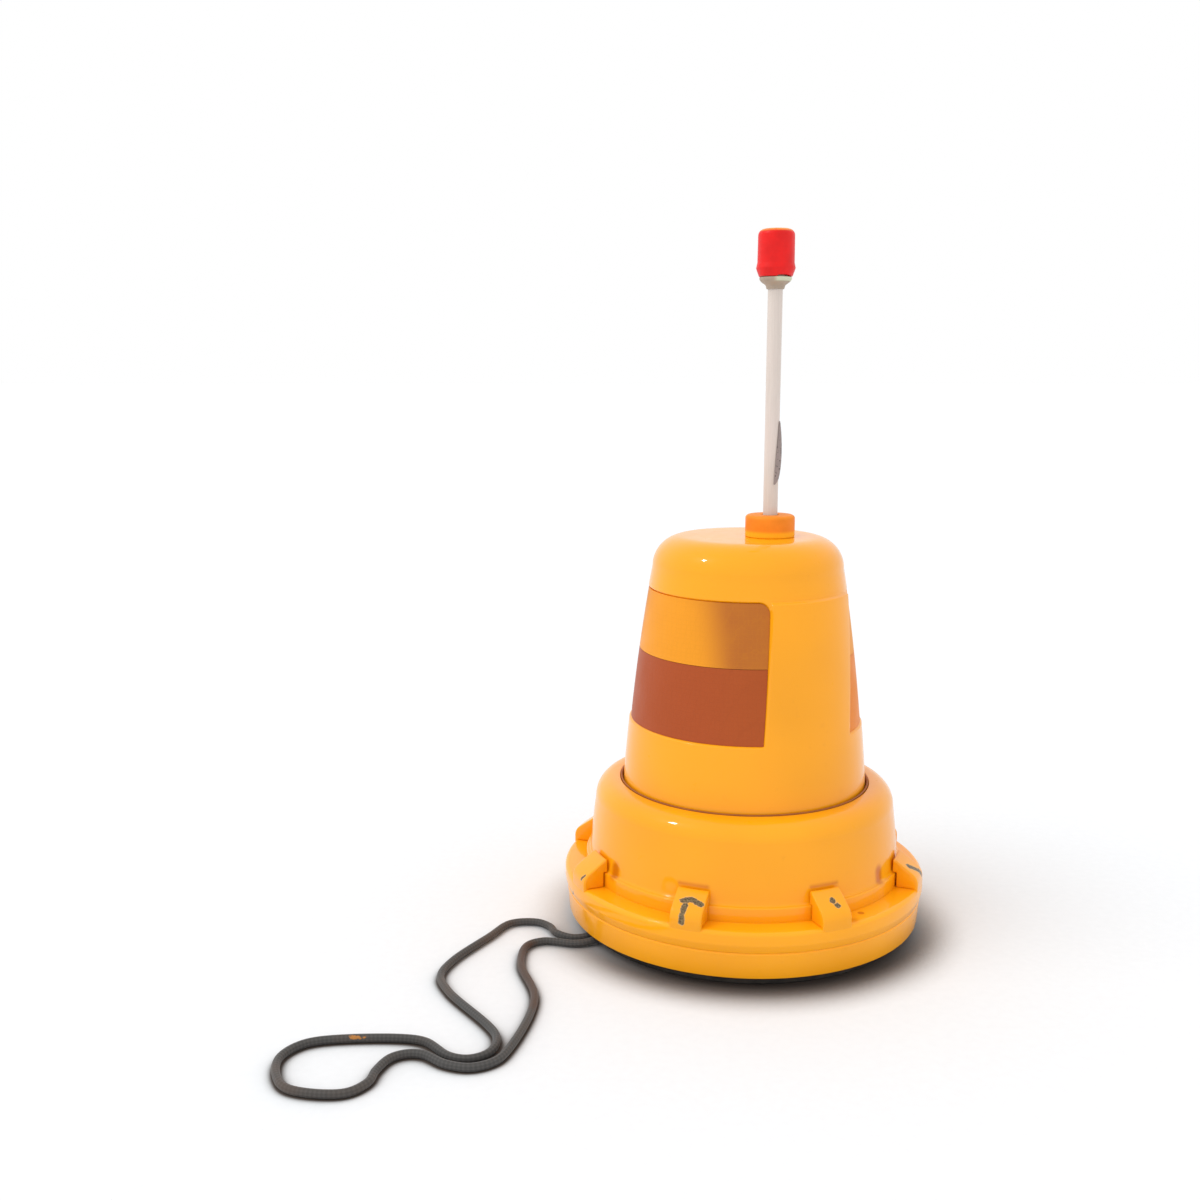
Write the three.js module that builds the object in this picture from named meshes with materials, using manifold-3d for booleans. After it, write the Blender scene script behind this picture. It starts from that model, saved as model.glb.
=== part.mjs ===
// A free-standing traffic barrier marker: a weighted base ring with eight clamp lugs holds a bell
// housing, a tapered cone with reflector panels turns in the bell's mouth on a central spindle, and a
// thin mast with a red cap stands in a socket in the cone's top. A cord lanyard lies beside the base.
// Millimetres, +Z up. The origin is on the ground under the middle of the base.
import * as THREE from 'three';
import { mergeVertices } from 'three/addons/utils/BufferGeometryUtils.js';
import Module from 'manifold-3d';

const wasm = await Module();
wasm.setup();

// ---------- driving dimensions ----------
const gap = 0.3;                 // clearance between pieces that touch
const bigSides = 48;             // facets round the large turned pieces
const smallSides = 16;           // facets round the mast and its fittings
const screwSides = 10;           // facets round screws and their holes
const full = Math.PI * 2;

// base
const baseRadius = 128;          // widest point of the base ring
const footHeight = 7.5;          // ground to the ring's lower edge
const ringHeight = 32.5;         // ring's lower edge to its ledge
const ringTaper = 3;             // how much the ring draws in towards its lower edge
const ringWall = 3;              // skirt wall at the lower edge
const ledgeThickness = 6;
const plateThickness = 3;
const plateRecess = 1.5;         // base plate's underside above the ring's lower edge
const footWidth = 17.5;          // radial width of the rubber foot
const footInset = 10.5;          // foot's outer edge inside the ring's widest point
const ballastHeight = 20.5;

// bell
const flangeInset = 15.5;        // bell flange inside the ring's widest point
const flangeHeight = 8.4;
const flangeStep = 2.5;          // bell wall behind the flange's rim
const gasketThickness = 1;
const bellHeight = 61.8;         // flange underside to the top of the rolled rim
const bellTaper = 4.3;           // wall draws in from the flange to the shoulder
const shoulderRadius = 13.9;     // round between the bell's wall and its rim
const rimWidth = 5.3;            // from the top of the rim in to the mouth
const bellWall = 3.7;

// cone
const seamWidth = 1.6;           // open ring between the cone and the bell's mouth
const sealDepth = 0.1;           // seal's middle below the top of the bell's rim
const seatThickness = 2;         // low-friction ring that the cone's foot runs on
const coneHeight = 182.2;        // foot of the cone to its flat top
const coneTaper = 20.1;          // the wall draws in this far up to the dome
const coneBulge = 0.47;          // share of the taper that comes in with the square of the height
const domeRadius = 21.5;         // round between the cone's wall and its top
const coneWall = 6;
const pocketStart = 53.2;        // foot of the cone to the lower edge of the pockets
const pocketHeight = 93.5;
const pocketDepthLow = 2.8;      // pocket depth at its lower edge
const pocketDepthHigh = 2.0;     // pocket depth at its upper edge
const pocketCorner = 7.5;
const pillarWidth = 71;          // plain pillar left between the two pockets
const pillarLean = 0.11;         // how far the pillar's edges drift sideways per mm of height
const pillarProud = 2.2;         // how far the pillar stands out at its top
const pillarTurn = 32.5;         // degrees, direction of one pillar from -Y towards +X
const panelThickness = 1.3;
const lowerPanelHeight = 50;

// spindle and its bearing
const spindleRadius = 10;
const spindleFlange = 26;
const hubRadius = 18;
const hubHeight = 22;
const bushWall = 2;
const floorThickness = 4;
const washerThickness = 2;
const nutHeight = 7;

// clamp lugs and screws
const lugCount = 8;
const lugWidth = 21.5;
const lugHeight = 19.5;          // lug's top edge above the ring's ledge
const lugFace = 3.4;             // upright part of the lug's outer face
const lugCorner = 9;             // round between that face and the slope above it
const lugScrewRadius = 2;
const baseScrewRadius = 2.5;
const floorScrewRadius = 2;
const bossRadius = 6.5;

// mast and its fittings
const mastX = 14.5;              // mast stands off the cone's axis
const mastY = -4;
const mastRadius = 5;
const mastLength = 262.7;
const socketWall = 3.6;
const socketDepth = 84;          // socket below the cone's top
const collarRadius = 17;
const collarHeight = 14.7;
const capRadius = 12.4;
const capHeight = 31;
const capWall = 4.5;
const ferruleHeight = 7.8;
const labelHeight = 43;

// tether
const cordRadius = 2.5;
const cordSpread = 4.2;          // each cord end off the cleat's centre line
const cordTurn = -63.5;          // degrees, direction of the cleat from -Y towards +X
const cleatWidth = 20;
const cleatLength = 17;
const cleatClearance = 0.3;      // cleat's underside above the ground
const cleatScrewRadius = 1.5;
const socketEntry = 6;           // how far each cord end goes into the cleat
const socketClearance = 0.6;     // cord socket's wall round the cord

// ---------- levels worked out from them ----------
const ledgeZ = footHeight + ringHeight;
const plateZ = footHeight + plateRecess;
const plateTopZ = plateZ + plateThickness;
const ballastZ = plateTopZ + gap;
const ballastTopZ = ballastZ + ballastHeight;
const gasketZ = ledgeZ + gap;
const bellZ = gasketZ + gasketThickness + gap;
const bellTopZ = bellZ + bellHeight;
const bellRadius = baseRadius - flangeInset - flangeStep;
const shoulderTopRadius = bellRadius - bellTaper - shoulderRadius + 1.6;
const mouthRadius = shoulderTopRadius - rimWidth;
const lipZ = bellTopZ - 11.5;
const seatZ = lipZ + gap;
const coneZ = seatZ + seatThickness + gap;
const coneRadius = mouthRadius - seamWidth;
const coneTopZ = coneZ + coneHeight;
const lipRadius = coneRadius - coneWall - 2.5;
const floorZ = coneZ + 7.9;
const floorTopZ = floorZ + floorThickness;
const hubZ = floorTopZ - 9.9;
const hubTopZ = hubZ + hubHeight;
const thrustZ = hubZ - gap - washerThickness;
const pocketZ = coneZ + pocketStart;
const pocketTopZ = pocketZ + pocketHeight;
const domeZ = coneTopZ - domeRadius;

// ---------- shapes ----------
// A ring or disc turned about the vertical axis from an outline of [radius, height] points.
function turned(outline, sides = bigSides) {
  let area = 0;
  outline.forEach(([r, z], i) => {
    const [nextR, nextZ] = outline[(i + 1) % outline.length];
    area += r * nextZ - nextR * z;
  });
  const ordered = area > 0 ? outline : [...outline].reverse();
  const points = ordered.map(([r, z]) => new THREE.Vector2(r, z));
  points.push(points[0].clone());
  const geometry = new THREE.LatheGeometry(points, sides);
  return geometry.rotateX(Math.PI / 2);
}

// A plain round bar standing on height z.
function bar(radius, z, height, sides = screwSides) {
  const geometry = new THREE.CylinderGeometry(radius, radius, height, sides);
  return geometry.rotateX(Math.PI / 2).translate(0, 0, z + height / 2);
}

// An outline of [x, y] points made thick along +Z, standing on height z.
function slab(outline, z, height) {
  const shape = new THREE.Shape(outline.map(([x, y]) => new THREE.Vector2(x, y)));
  const geometry = new THREE.ExtrudeGeometry(shape, { depth: height, bevelEnabled: false });
  return geometry.translate(0, 0, z);
}

// A hexagon with the given distance across its flats.
function hexagon(acrossFlats) {
  const corner = acrossFlats / Math.sqrt(3);
  return Array.from({ length: 6 }, (_, i) => {
    const angle = (i * full) / 6;
    return [corner * Math.cos(angle), corner * Math.sin(angle)];
  });
}

// Points along a round, from one angle to another in degrees, about a centre.
function round(centreR, centreZ, radius, fromAngle, toAngle, steps) {
  return Array.from({ length: steps + 1 }, (_, i) => {
    const angle = THREE.MathUtils.degToRad(fromAngle + ((toAngle - fromAngle) * i) / steps);
    return [centreR + radius * Math.cos(angle), centreZ + radius * Math.sin(angle)];
  });
}

// ---------- joining and cutting ----------
function solid(geometry) {
  const bare = geometry.clone();
  bare.deleteAttribute('normal');
  bare.deleteAttribute('uv');
  const merged = mergeVertices(bare, 1e-4);
  const index = Array.from(merged.index.array);
  const triangles = [];
  for (let i = 0; i < index.length; i += 3) {
    const [a, b, c] = index.slice(i, i + 3);
    if (a !== b && b !== c && c !== a) triangles.push(a, b, c);
  }
  return new wasm.Manifold(new wasm.Mesh({
    numProp: 3,
    vertProperties: Float32Array.from(merged.attributes.position.array),
    triVerts: Uint32Array.from(triangles),
  }));
}

function surface(body) {
  const cut = body.getMesh();
  const geometry = new THREE.BufferGeometry();
  geometry.setAttribute('position', new THREE.BufferAttribute(Float32Array.from(cut.vertProperties), 3));
  geometry.setIndex(new THREE.BufferAttribute(Uint32Array.from(cut.triVerts), 1));
  geometry.computeVertexNormals();
  return geometry;
}

// A geometry with others taken out of it.
function cut(base, ...tools) {
  return surface(tools.reduce((body, tool) => body.subtract(solid(tool)), solid(base)));
}

// Several geometries made one.
function joined(base, ...others) {
  return surface(others.reduce((body, other) => body.add(solid(other)), solid(base)));
}

// What two geometries share.
function shared(a, b) {
  return surface(solid(a).intersect(solid(b)));
}

// A copy of a geometry moved out to a radius in a direction given in degrees from -Y towards +X.
function placed(geometry, radius, direction) {
  const copy = geometry.clone().translate(0, -radius, 0);
  return copy.rotateZ(THREE.MathUtils.degToRad(direction));
}

// ---------- finishes ----------
const finish = (color, roughness, metalness = 0) =>
  new THREE.MeshStandardMaterial({ color, roughness, metalness });
const orange = finish(0xf9a62a, 0.3);
const collarOrange = finish(0xf58c2b, 0.5);
const amberSheet = finish(0xf0a23c, 0.35);
const brownSheet = finish(0xb05a34, 0.45);
const black = finish(0x1c1a18, 0.85);
const rubber = finish(0x2a2724, 0.8);
const castIron = finish(0x4a4a4c, 0.6, 0.7);
const steel = finish(0xb4b6b8, 0.35, 1);
const bronze = finish(0xa9793c, 0.4, 1);
const nylon = finish(0xe6e2d6, 0.5);
const mastFinish = finish(0xdfd3c9, 0.45);
const labelFinish = finish(0x8c7e7a, 0.5);
const ferruleFinish = finish(0xaf9c89, 0.5);
const red = finish(0xed3532, 0.4);
const cordFinish = finish(0x464646, 0.8);

const marker = new THREE.Group();

function add(name, geometry, material, parent = marker) {
  const mesh = new THREE.Mesh(geometry, material);
  mesh.name = name;
  parent.add(mesh);
  return mesh;
}

// ---------- base ----------
const footOuter = baseRadius - footInset;
const footInner = footOuter - footWidth;
const footTopZ = plateZ - gap;
const skirtInner = baseRadius - ringTaper - ringWall;
const plateRadius = skirtInner - 1;
const ledgeInner = baseRadius - 30;
const baseScrewAt = (footInner + footOuter) / 2;
const lugScrewAt = baseRadius - 10;
const lugInner = baseRadius - flangeInset + 0.9;
const headRadius = (shank) => shank * 1.75;
const headHeight = (shank) => shank * 1.2;
const holeRadius = (shank) => shank + gap;

// A screw with a round head below and a plain shank above; z is where the head meets the work.
function screw(shank, z, length) {
  const head = headRadius(shank);
  return turned([
    [0, z - headHeight(shank)], [head, z - headHeight(shank)], [head, z], [shank, z], [shank, z + length],
    [0, z + length],
  ], screwSides);
}

const quarterTurns = [0, 90, 180, 270];
const lugTurns = Array.from({ length: lugCount }, (_, i) => (i + 0.5) * (360 / lugCount));

const cleatTurn = THREE.MathUtils.degToRad(cordTurn);
const cordNotch = new THREE.BoxGeometry(cleatWidth + 6, 60, 60).translate(0, -footOuter, 0);
const screwAccess = bar(headRadius(baseScrewRadius) + 1.6, -1, footHeight + 9);
add('rubber_foot', cut(
  turned([
    [footInner, 0], [footOuter - 1.2, 0], [footOuter, 1.2], [footOuter, footTopZ], [footInner, footTopZ],
  ]),
  cordNotch.rotateZ(cleatTurn),
  ...quarterTurns.map((turn) => placed(screwAccess, baseScrewAt, turn)),
), rubber);

const stubRadius = spindleRadius - 2;
const cleatScrewAt = footInner + 2;
const plateBore = stubRadius + gap;
const plateScrewHole = bar(holeRadius(baseScrewRadius), plateZ - 1, plateThickness + 2);
add('base_plate', cut(
  turned([
    [plateBore, plateZ], [plateRadius, plateZ], [plateRadius, plateTopZ], [plateBore, plateTopZ],
  ]),
  ...quarterTurns.map((turn) => placed(plateScrewHole, baseScrewAt, turn)),
  placed(bar(holeRadius(cleatScrewRadius), plateZ - 1, plateThickness + 2), cleatScrewAt, cordTurn),
), steel);

const grooveZ = footHeight + ringHeight * 0.55;
const ringLowRadius = baseRadius - ringTaper;
const ringGrooveRadius = ringLowRadius + ringTaper / 2;
const ledgeRound = round(baseRadius - 3, ledgeZ - 3, 3, 0, 90, 3);
const ringBody = turned([
  [skirtInner, footHeight], [ringLowRadius, footHeight], [ringGrooveRadius, grooveZ - 0.8],
  [ringGrooveRadius - 0.7, grooveZ], [ringGrooveRadius + 0.3, grooveZ + 0.8], ...ledgeRound,
  [ledgeInner, ledgeZ], [ledgeInner, ledgeZ - ledgeThickness], [skirtInner, ledgeZ - ledgeThickness],
]);
const bossZ = plateTopZ + gap;
const ringBoss = bar(baseScrewRadius + 4.5, bossZ, ledgeZ - ledgeThickness - bossZ + 1);
const baseScrewLength = 19;
const ringBossHole = bar(holeRadius(baseScrewRadius), bossZ - 1, baseScrewLength - plateThickness + 1);
const lugScrewHole = bar(holeRadius(lugScrewRadius), ledgeZ - ledgeThickness - 1, ledgeThickness + 2);
add('base_ring', cut(
  joined(ringBody, ...quarterTurns.map((turn) => placed(ringBoss, baseScrewAt, turn))),
  ...quarterTurns.map((turn) => placed(ringBossHole, baseScrewAt, turn)),
  ...lugTurns.map((turn) => placed(lugScrewHole, lugScrewAt, turn)),
), orange);

quarterTurns.forEach((turn, i) => {
  add(`base_screw_${i + 1}`, placed(screw(baseScrewRadius, plateZ - gap, baseScrewLength - 1),
    baseScrewAt, turn), steel);
});

const shankRadius = spindleRadius + 2;
const ballastRadius = ledgeInner - 3;
add('ballast_weight', turned([
  [shankRadius + gap, ballastZ], [ballastRadius - 2, ballastZ], [ballastRadius, ballastZ + 2],
  [ballastRadius, ballastTopZ - 3], [ballastRadius - 3, ballastTopZ], [shankRadius + gap, ballastTopZ],
]), castIron);

// ---------- tether cleat: a block under the plate with a socket for each end of the cord ----------
const cleatOuter = footOuter - 4;
const cordSocketZ = 4.6;
const cordSocketRadius = cordRadius + socketClearance;
const cleatHeight = footTopZ - cleatClearance;
const cleatBlock = new THREE.BoxGeometry(cleatWidth, cleatLength, cleatHeight)
  .translate(0, cleatLength / 2, cleatClearance + cleatHeight / 2);
const cordSocket = (offset) => new THREE.CylinderGeometry(
  cordSocketRadius, cordSocketRadius, socketEntry * 2, 12).translate(offset, 0, cordSocketZ);
const cleatScrewSeatZ = 3.2;
const cleatScrewHole = bar(holeRadius(cleatScrewRadius), -1, footTopZ + 2)
  .translate(0, cleatOuter - cleatScrewAt, 0);
const cleatScrewRecess = bar(headRadius(cleatScrewRadius) + gap, -1, cleatScrewSeatZ + 1)
  .translate(0, cleatOuter - cleatScrewAt, 0);
add('tether_cleat', placed(cut(
  cleatBlock,
  cordSocket(-cordSpread),
  cordSocket(cordSpread),
  cleatScrewHole,
  cleatScrewRecess,
), cleatOuter, cordTurn), black);
const cleatScrewLength = plateTopZ - cleatScrewSeatZ;
add('cleat_screw', placed(screw(cleatScrewRadius, cleatScrewSeatZ - gap, cleatScrewLength),
  cleatScrewAt, cordTurn), steel);

// ---------- bell ----------
const flangeRadius = baseRadius - flangeInset;
const flangeInner = bellRadius - bellWall;
add('bell_gasket', turned([
  [ledgeInner + 1, gasketZ], [flangeRadius - 0.5, gasketZ],
  [flangeRadius - 0.5, gasketZ + gasketThickness], [ledgeInner + 1, gasketZ + gasketThickness],
]), rubber);

const shoulderR = shoulderTopRadius - 1.6;
const shoulderZ = bellTopZ - shoulderRadius - 0.6;
const wallTopR = bellRadius - bellTaper;
add('bell_housing', turned([
  [ledgeInner + 2, bellZ], [flangeRadius, bellZ], [flangeRadius, bellZ + flangeHeight - 0.6],
  [flangeRadius - 0.6, bellZ + flangeHeight], [bellRadius + 0.3, bellZ + flangeHeight],
  [bellRadius - 0.3, bellZ + flangeHeight + 2], [bellRadius - bellTaper / 2, (bellZ + shoulderZ) / 2 + 3],
  ...round(shoulderR, shoulderZ, shoulderRadius, 0, 78, 5),
  [shoulderTopRadius, bellTopZ], [mouthRadius + 0.9, bellTopZ - 0.2], [mouthRadius + 0.2, bellTopZ - 0.9],
  [mouthRadius, bellTopZ - 3], [mouthRadius, lipZ], [lipRadius, lipZ], [lipRadius, lipZ - 3.5],
  [mouthRadius + 2.5, lipZ - 3.5], [mouthRadius + 3.5, bellTopZ - 6],
  [shoulderR + 4, bellTopZ - 5.5], [wallTopR - bellWall - 1.5, shoulderZ + 4],
  [wallTopR - bellWall, shoulderZ - 4], [flangeInner - bellTaper / 2, (bellZ + shoulderZ) / 2],
  [flangeInner, bellZ + flangeHeight], [ledgeInner + 2, bellZ + flangeHeight - 3],
]), orange);

// ---------- clamp lugs ----------
const lugOuter = baseRadius - 0.2;
const lugZ = ledgeZ + gap;
const lugTopZ = ledgeZ + lugHeight;
const hookZ = bellZ + flangeHeight + gap;
const lugHookR = bellRadius + 0.6;
const lugOutline = [
  [lugInner, lugZ], [lugOuter, lugZ], ...round(lugOuter - lugCorner, ledgeZ + lugFace, lugCorner, 0, 55, 4),
  [lugHookR + 2, lugTopZ - 0.4], [lugHookR, lugTopZ], [lugHookR, hookZ], [lugInner, hookZ],
];
const lugBlock = slab(lugOutline.map(([r, z]) => [-r, z]), -lugWidth / 2, lugWidth)
  .rotateX(Math.PI / 2)
  .rotateZ(Math.PI / 2);
const lugHoleDepth = 8.5;
const lugHole = bar(holeRadius(lugScrewRadius), ledgeZ - 1, lugHoleDepth + 1).translate(0, -lugScrewAt, 0);
const lug = cut(lugBlock, lugHole);
const lugScrewZ = ledgeZ - ledgeThickness - gap;
const lugScrew = screw(lugScrewRadius, lugScrewZ, ledgeThickness + lugHoleDepth - 0.2);
lugTurns.forEach((turn, i) => {
  add(`clamp_lug_${i + 1}`, placed(lug, 0, turn), orange);
  add(`lug_screw_${i + 1}`, placed(lugScrew, lugScrewAt, turn), steel);
});

// ---------- spindle: clamps the ballast to the plate and carries the cone ----------
const stubEndZ = 1.2;
const spindleTopZ = hubTopZ + gap * 3 + washerThickness + nutHeight + 1.5;
add('spindle', turned([
  [0, stubEndZ], [stubRadius - 1, stubEndZ], [stubRadius, stubEndZ + 1], [stubRadius, plateTopZ + gap],
  [shankRadius, plateTopZ + gap], [shankRadius, ballastTopZ + gap], [spindleFlange, ballastTopZ + gap],
  [spindleFlange, ballastTopZ + 5], [spindleFlange - 8, ballastTopZ + 7], [shankRadius, ballastTopZ + 12],
  [shankRadius, thrustZ - 8], [hubRadius - 1, thrustZ - 4], [hubRadius - 1, thrustZ - gap],
  [spindleRadius, thrustZ - gap], [spindleRadius, hubTopZ + gap], [stubRadius, hubTopZ + gap],
  [stubRadius, spindleTopZ - 1], [stubRadius - 1, spindleTopZ], [0, spindleTopZ],
], smallSides), steel);

const hexNut = (z) => cut(slab(hexagon(shankRadius * 2), z, nutHeight - 1),
  bar(stubRadius + gap, z - 1, nutHeight + 2, smallSides));
add('spindle_base_nut', hexNut(plateZ - gap - nutHeight + 1), steel);
add('spindle_top_nut', hexNut(hubTopZ + gap * 3 + washerThickness), steel);

const washer = (inner, z) => turned([
  [inner, z], [hubRadius - 1, z], [hubRadius - 1, z + washerThickness], [inner, z + washerThickness],
], smallSides);
add('thrust_washer', washer(spindleRadius + gap, thrustZ), bronze);
add('spindle_top_washer', washer(stubRadius + gap, hubTopZ + gap * 2), steel);

// ---------- ring that the cone runs on, and the seal in the seam ----------
const coneFootInner = coneRadius - coneWall;
add('seat_ring', turned([
  [coneFootInner - 1, seatZ], [mouthRadius - gap * 2, seatZ],
  [mouthRadius - gap * 2, seatZ + seatThickness], [coneFootInner - 1, seatZ + seatThickness],
]), nylon);
const sealRadius = seamWidth / 2 - gap;
add('seam_seal', turned(
  round(coneRadius + seamWidth / 2, bellTopZ - sealDepth, sealRadius, 45, 315, 3),
), black);

// ---------- cone ----------
// Outer radius of the cone's wall at a height: a straight draft plus a gentle bulge.
const wallSpan = domeZ - coneZ;
function coneRadiusAt(z) {
  const t = Math.max(0, (z - coneZ) / wallSpan);
  return coneRadius - coneTaper * ((1 - coneBulge) * t + coneBulge * t * t);
}

function wallPoints(offset, fromZ, toZ, steps) {
  return Array.from({ length: steps + 1 }, (_, i) => {
    const z = fromZ + ((toZ - fromZ) * i) / steps;
    return [coneRadiusAt(z) + offset(z), z];
  });
}

const still = (value) => () => value;
const domeCentreR = coneRadiusAt(domeZ) - domeRadius;
const innerDome = domeRadius - coneWall + 1;
const coneShell = turned([
  ...wallPoints(still(0), coneZ, domeZ, 6),
  ...round(domeCentreR, domeZ, domeRadius, 15, 90, 4),
  [0, coneTopZ], [0, coneTopZ - coneWall + 1],
  ...round(domeCentreR, domeZ, innerDome, 90, 0, 2),
  ...wallPoints(still(-coneWall), coneZ, domeZ - 6, 2).reverse(),
]);

// The band between two heights outside the given depth below the wall.
function band(depth, outside, fromZ, toZ) {
  return turned([
    ...wallPoints(depth, fromZ, toZ, 3),
    ...wallPoints(outside, fromZ, toZ, 3).reverse(),
  ]);
}

const rise = (z) => (z - pocketZ) / pocketHeight;
const pocketDepth = (z) => -(pocketDepthLow + (pocketDepthHigh - pocketDepthLow) * rise(z));
const pillarAngle = THREE.MathUtils.degToRad(pillarTurn);
const windowDepth = baseRadius * 2;
const pillarShear = new THREE.Matrix4().set(
  1, 0, pillarLean, -pillarLean * (pocketZ + pocketHeight / 2),
  0, 1, 0, 0,
  0, 0, 1, 0,
  0, 0, 0, 1,
);

// A window beside the leaning pillar, with one rounded upper corner, cut along the pillar's direction.
function windowBlock(side, inset, fromZ, toZ, corner) {
  const edge = pillarWidth / 2 + inset;
  const upperCorner = corner > 0 ? round(edge + corner, toZ - corner, corner, 90, 180, 4) : [[edge, toZ]];
  const outline = [[edge, fromZ], [windowDepth, fromZ], [windowDepth, toZ], ...upperCorner];
  const block = slab(outline, -windowDepth, windowDepth * 2).rotateX(Math.PI / 2);
  return (side > 0 ? block : block.rotateZ(Math.PI)).applyMatrix4(pillarShear).rotateZ(pillarAngle);
}

const pocketBand = band(pocketDepth, still(20), pocketZ, pocketTopZ + 1);
const pockets = [1, -1].map((side) =>
  shared(pocketBand, windowBlock(side, 0, pocketZ - 1, pocketTopZ, pocketCorner)));
const pillarBand = band(still(-1), (z) => pillarProud * rise(z) + 0.01, pocketZ, pocketTopZ);
const pillarSlab = new THREE.BoxGeometry(pillarWidth - 0.02, windowDepth, windowDepth * 2)
  .applyMatrix4(pillarShear)
  .rotateZ(pillarAngle);
const mastHole = bar(mastRadius + socketWall + gap * 3, coneTopZ - 30, 40, smallSides)
  .translate(mastX, mastY, 0);
const floorScrewAt = coneRadius - coneWall - headRadius(floorScrewRadius) - 1.2;
const floorScrewTurns = quarterTurns.map((turn) => turn + 45);
const bossTopZ = pocketZ - 18;
const coneBoss = shared(
  turned([[0, floorTopZ + gap], [coneRadiusAt(bossTopZ) - 2, floorTopZ + gap],
    [coneRadiusAt(bossTopZ) - 2, bossTopZ], [0, bossTopZ]]),
  bar(bossRadius, floorTopZ + gap, bossTopZ - floorTopZ - gap).translate(0, -floorScrewAt, 0),
);
const floorScrewLength = 18;
const coneBossHole = bar(holeRadius(floorScrewRadius), floorTopZ, floorScrewLength - floorThickness + 1);
const coneBosses = floorScrewTurns.map((turn) => placed(coneBoss, 0, turn));
const coneCover = cut(
  joined(coneShell, shared(pillarBand, pillarSlab), ...coneBosses),
  ...pockets,
  mastHole,
  ...floorScrewTurns.map((turn) => placed(coneBossHole, floorScrewAt, turn)),
);
add('cone_cover', coneCover, orange);

// Reflector panels lie in the pockets, amber but for the lower one on the left, which is brown-red.
const panelZ = pocketZ + gap;
const panelSplitZ = panelZ + lowerPanelHeight;
const panelTopZ = pocketTopZ - gap * 2;
const panelBand = (fromZ, toZ) => band(
  (z) => pocketDepth(z) + gap, (z) => pocketDepth(z) + gap + panelThickness, fromZ, toZ);
[['left', -1], ['right', 1]].forEach(([name, side]) => {
  add(`lower_reflector_${name}`, shared(
    panelBand(panelZ, panelSplitZ), windowBlock(side, gap, panelZ - 1, panelSplitZ + 1, 0),
  ), side < 0 ? brownSheet : amberSheet);
  add(`upper_reflector_${name}`, shared(
    panelBand(panelSplitZ + gap, panelTopZ + 1),
    windowBlock(side, gap, panelSplitZ, panelTopZ, pocketCorner - gap),
  ), amberSheet);
});

// The floor closes the cone's foot and holds the hub that turns on the spindle.
const bushOuter = spindleRadius + gap + bushWall;
const floorRadius = coneRadiusAt(floorTopZ) - coneWall - gap * 2;
add('cone_floor', cut(
  turned([
    [bushOuter + gap, hubZ], [hubRadius, hubZ], [hubRadius, floorZ], [floorRadius, floorZ],
    [floorRadius, floorTopZ], [hubRadius, floorTopZ], [hubRadius, hubTopZ], [bushOuter + gap, hubTopZ],
  ]),
  ...floorScrewTurns.map((turn) => placed(
    bar(holeRadius(floorScrewRadius), floorZ - 1, floorThickness + 2), floorScrewAt, turn)),
), nylon);
floorScrewTurns.forEach((turn, i) => {
  add(`floor_screw_${i + 1}`, placed(screw(floorScrewRadius, floorZ - gap, floorScrewLength - 1),
    floorScrewAt, turn), steel);
});
add('hub_bush', turned([
  [spindleRadius + gap, hubZ], [bushOuter, hubZ], [bushOuter, hubTopZ], [spindleRadius + gap, hubTopZ],
], smallSides), bronze);

// ---------- mast, its socket and collar ----------
const mast = new THREE.Group();
mast.position.set(mastX, mastY, 0);
marker.add(mast);

const boreRadius = mastRadius + gap * 2;
const socketOuter = boreRadius + socketWall;
const socketTopZ = coneTopZ + 8;
const socketZ = coneTopZ - socketDepth;
const socketFlangeZ = coneTopZ - coneWall + 1 - gap;
add('mast_socket', turned([
  [2, socketZ], [socketOuter - 1, socketZ], [socketOuter, socketZ + 1], [socketOuter, socketFlangeZ - 4],
  [socketOuter + 5, socketFlangeZ - 4], [socketOuter + 5, socketFlangeZ], [socketOuter, socketFlangeZ],
  [socketOuter, socketTopZ], [boreRadius, socketTopZ], [boreRadius, socketZ + 3.5], [2, socketZ + 3.5],
], smallSides), black, mast);

const ringNutRadius = collarRadius - 3.5;
add('socket_nut', turned([
  [socketOuter + gap, coneTopZ + gap], [ringNutRadius, coneTopZ + gap], [ringNutRadius, coneTopZ + 3.5],
  [socketOuter + gap, coneTopZ + 3.5],
], smallSides), steel, mast);

const collarZ = coneTopZ + gap;
const collarTopZ = collarZ + collarHeight;
const grommetZ = socketTopZ + gap;
const grommetTopZ = collarTopZ - 3 - gap;
add('mast_collar', turned([
  [ringNutRadius + gap, collarZ], [collarRadius, collarZ],
  ...round(collarRadius - 2.5, collarTopZ - 2.5, 2.5, 0, 90, 3),
  [mastRadius + gap * 2, collarTopZ], [mastRadius + gap * 2, collarTopZ - 3],
  [socketOuter + gap, collarTopZ - 3], [socketOuter + gap, coneTopZ + 3.5 + gap],
  [ringNutRadius + gap, coneTopZ + 3.5 + gap],
], 24), collarOrange, mast);
add('mast_grommet', turned([
  [mastRadius + gap, grommetZ], [socketOuter, grommetZ], [socketOuter, grommetTopZ - 1],
  [socketOuter - 1, grommetTopZ], [mastRadius + gap, grommetTopZ],
], smallSides), rubber, mast);

const mastZ = socketZ + 3.5 + gap;
const mastTopZ = mastZ + mastLength;
add('mast_rod', turned([
  [0, mastZ], [mastRadius - 1, mastZ], [mastRadius, mastZ + 1], [mastRadius, mastTopZ], [0, mastTopZ],
], smallSides), mastFinish, mast);

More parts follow.
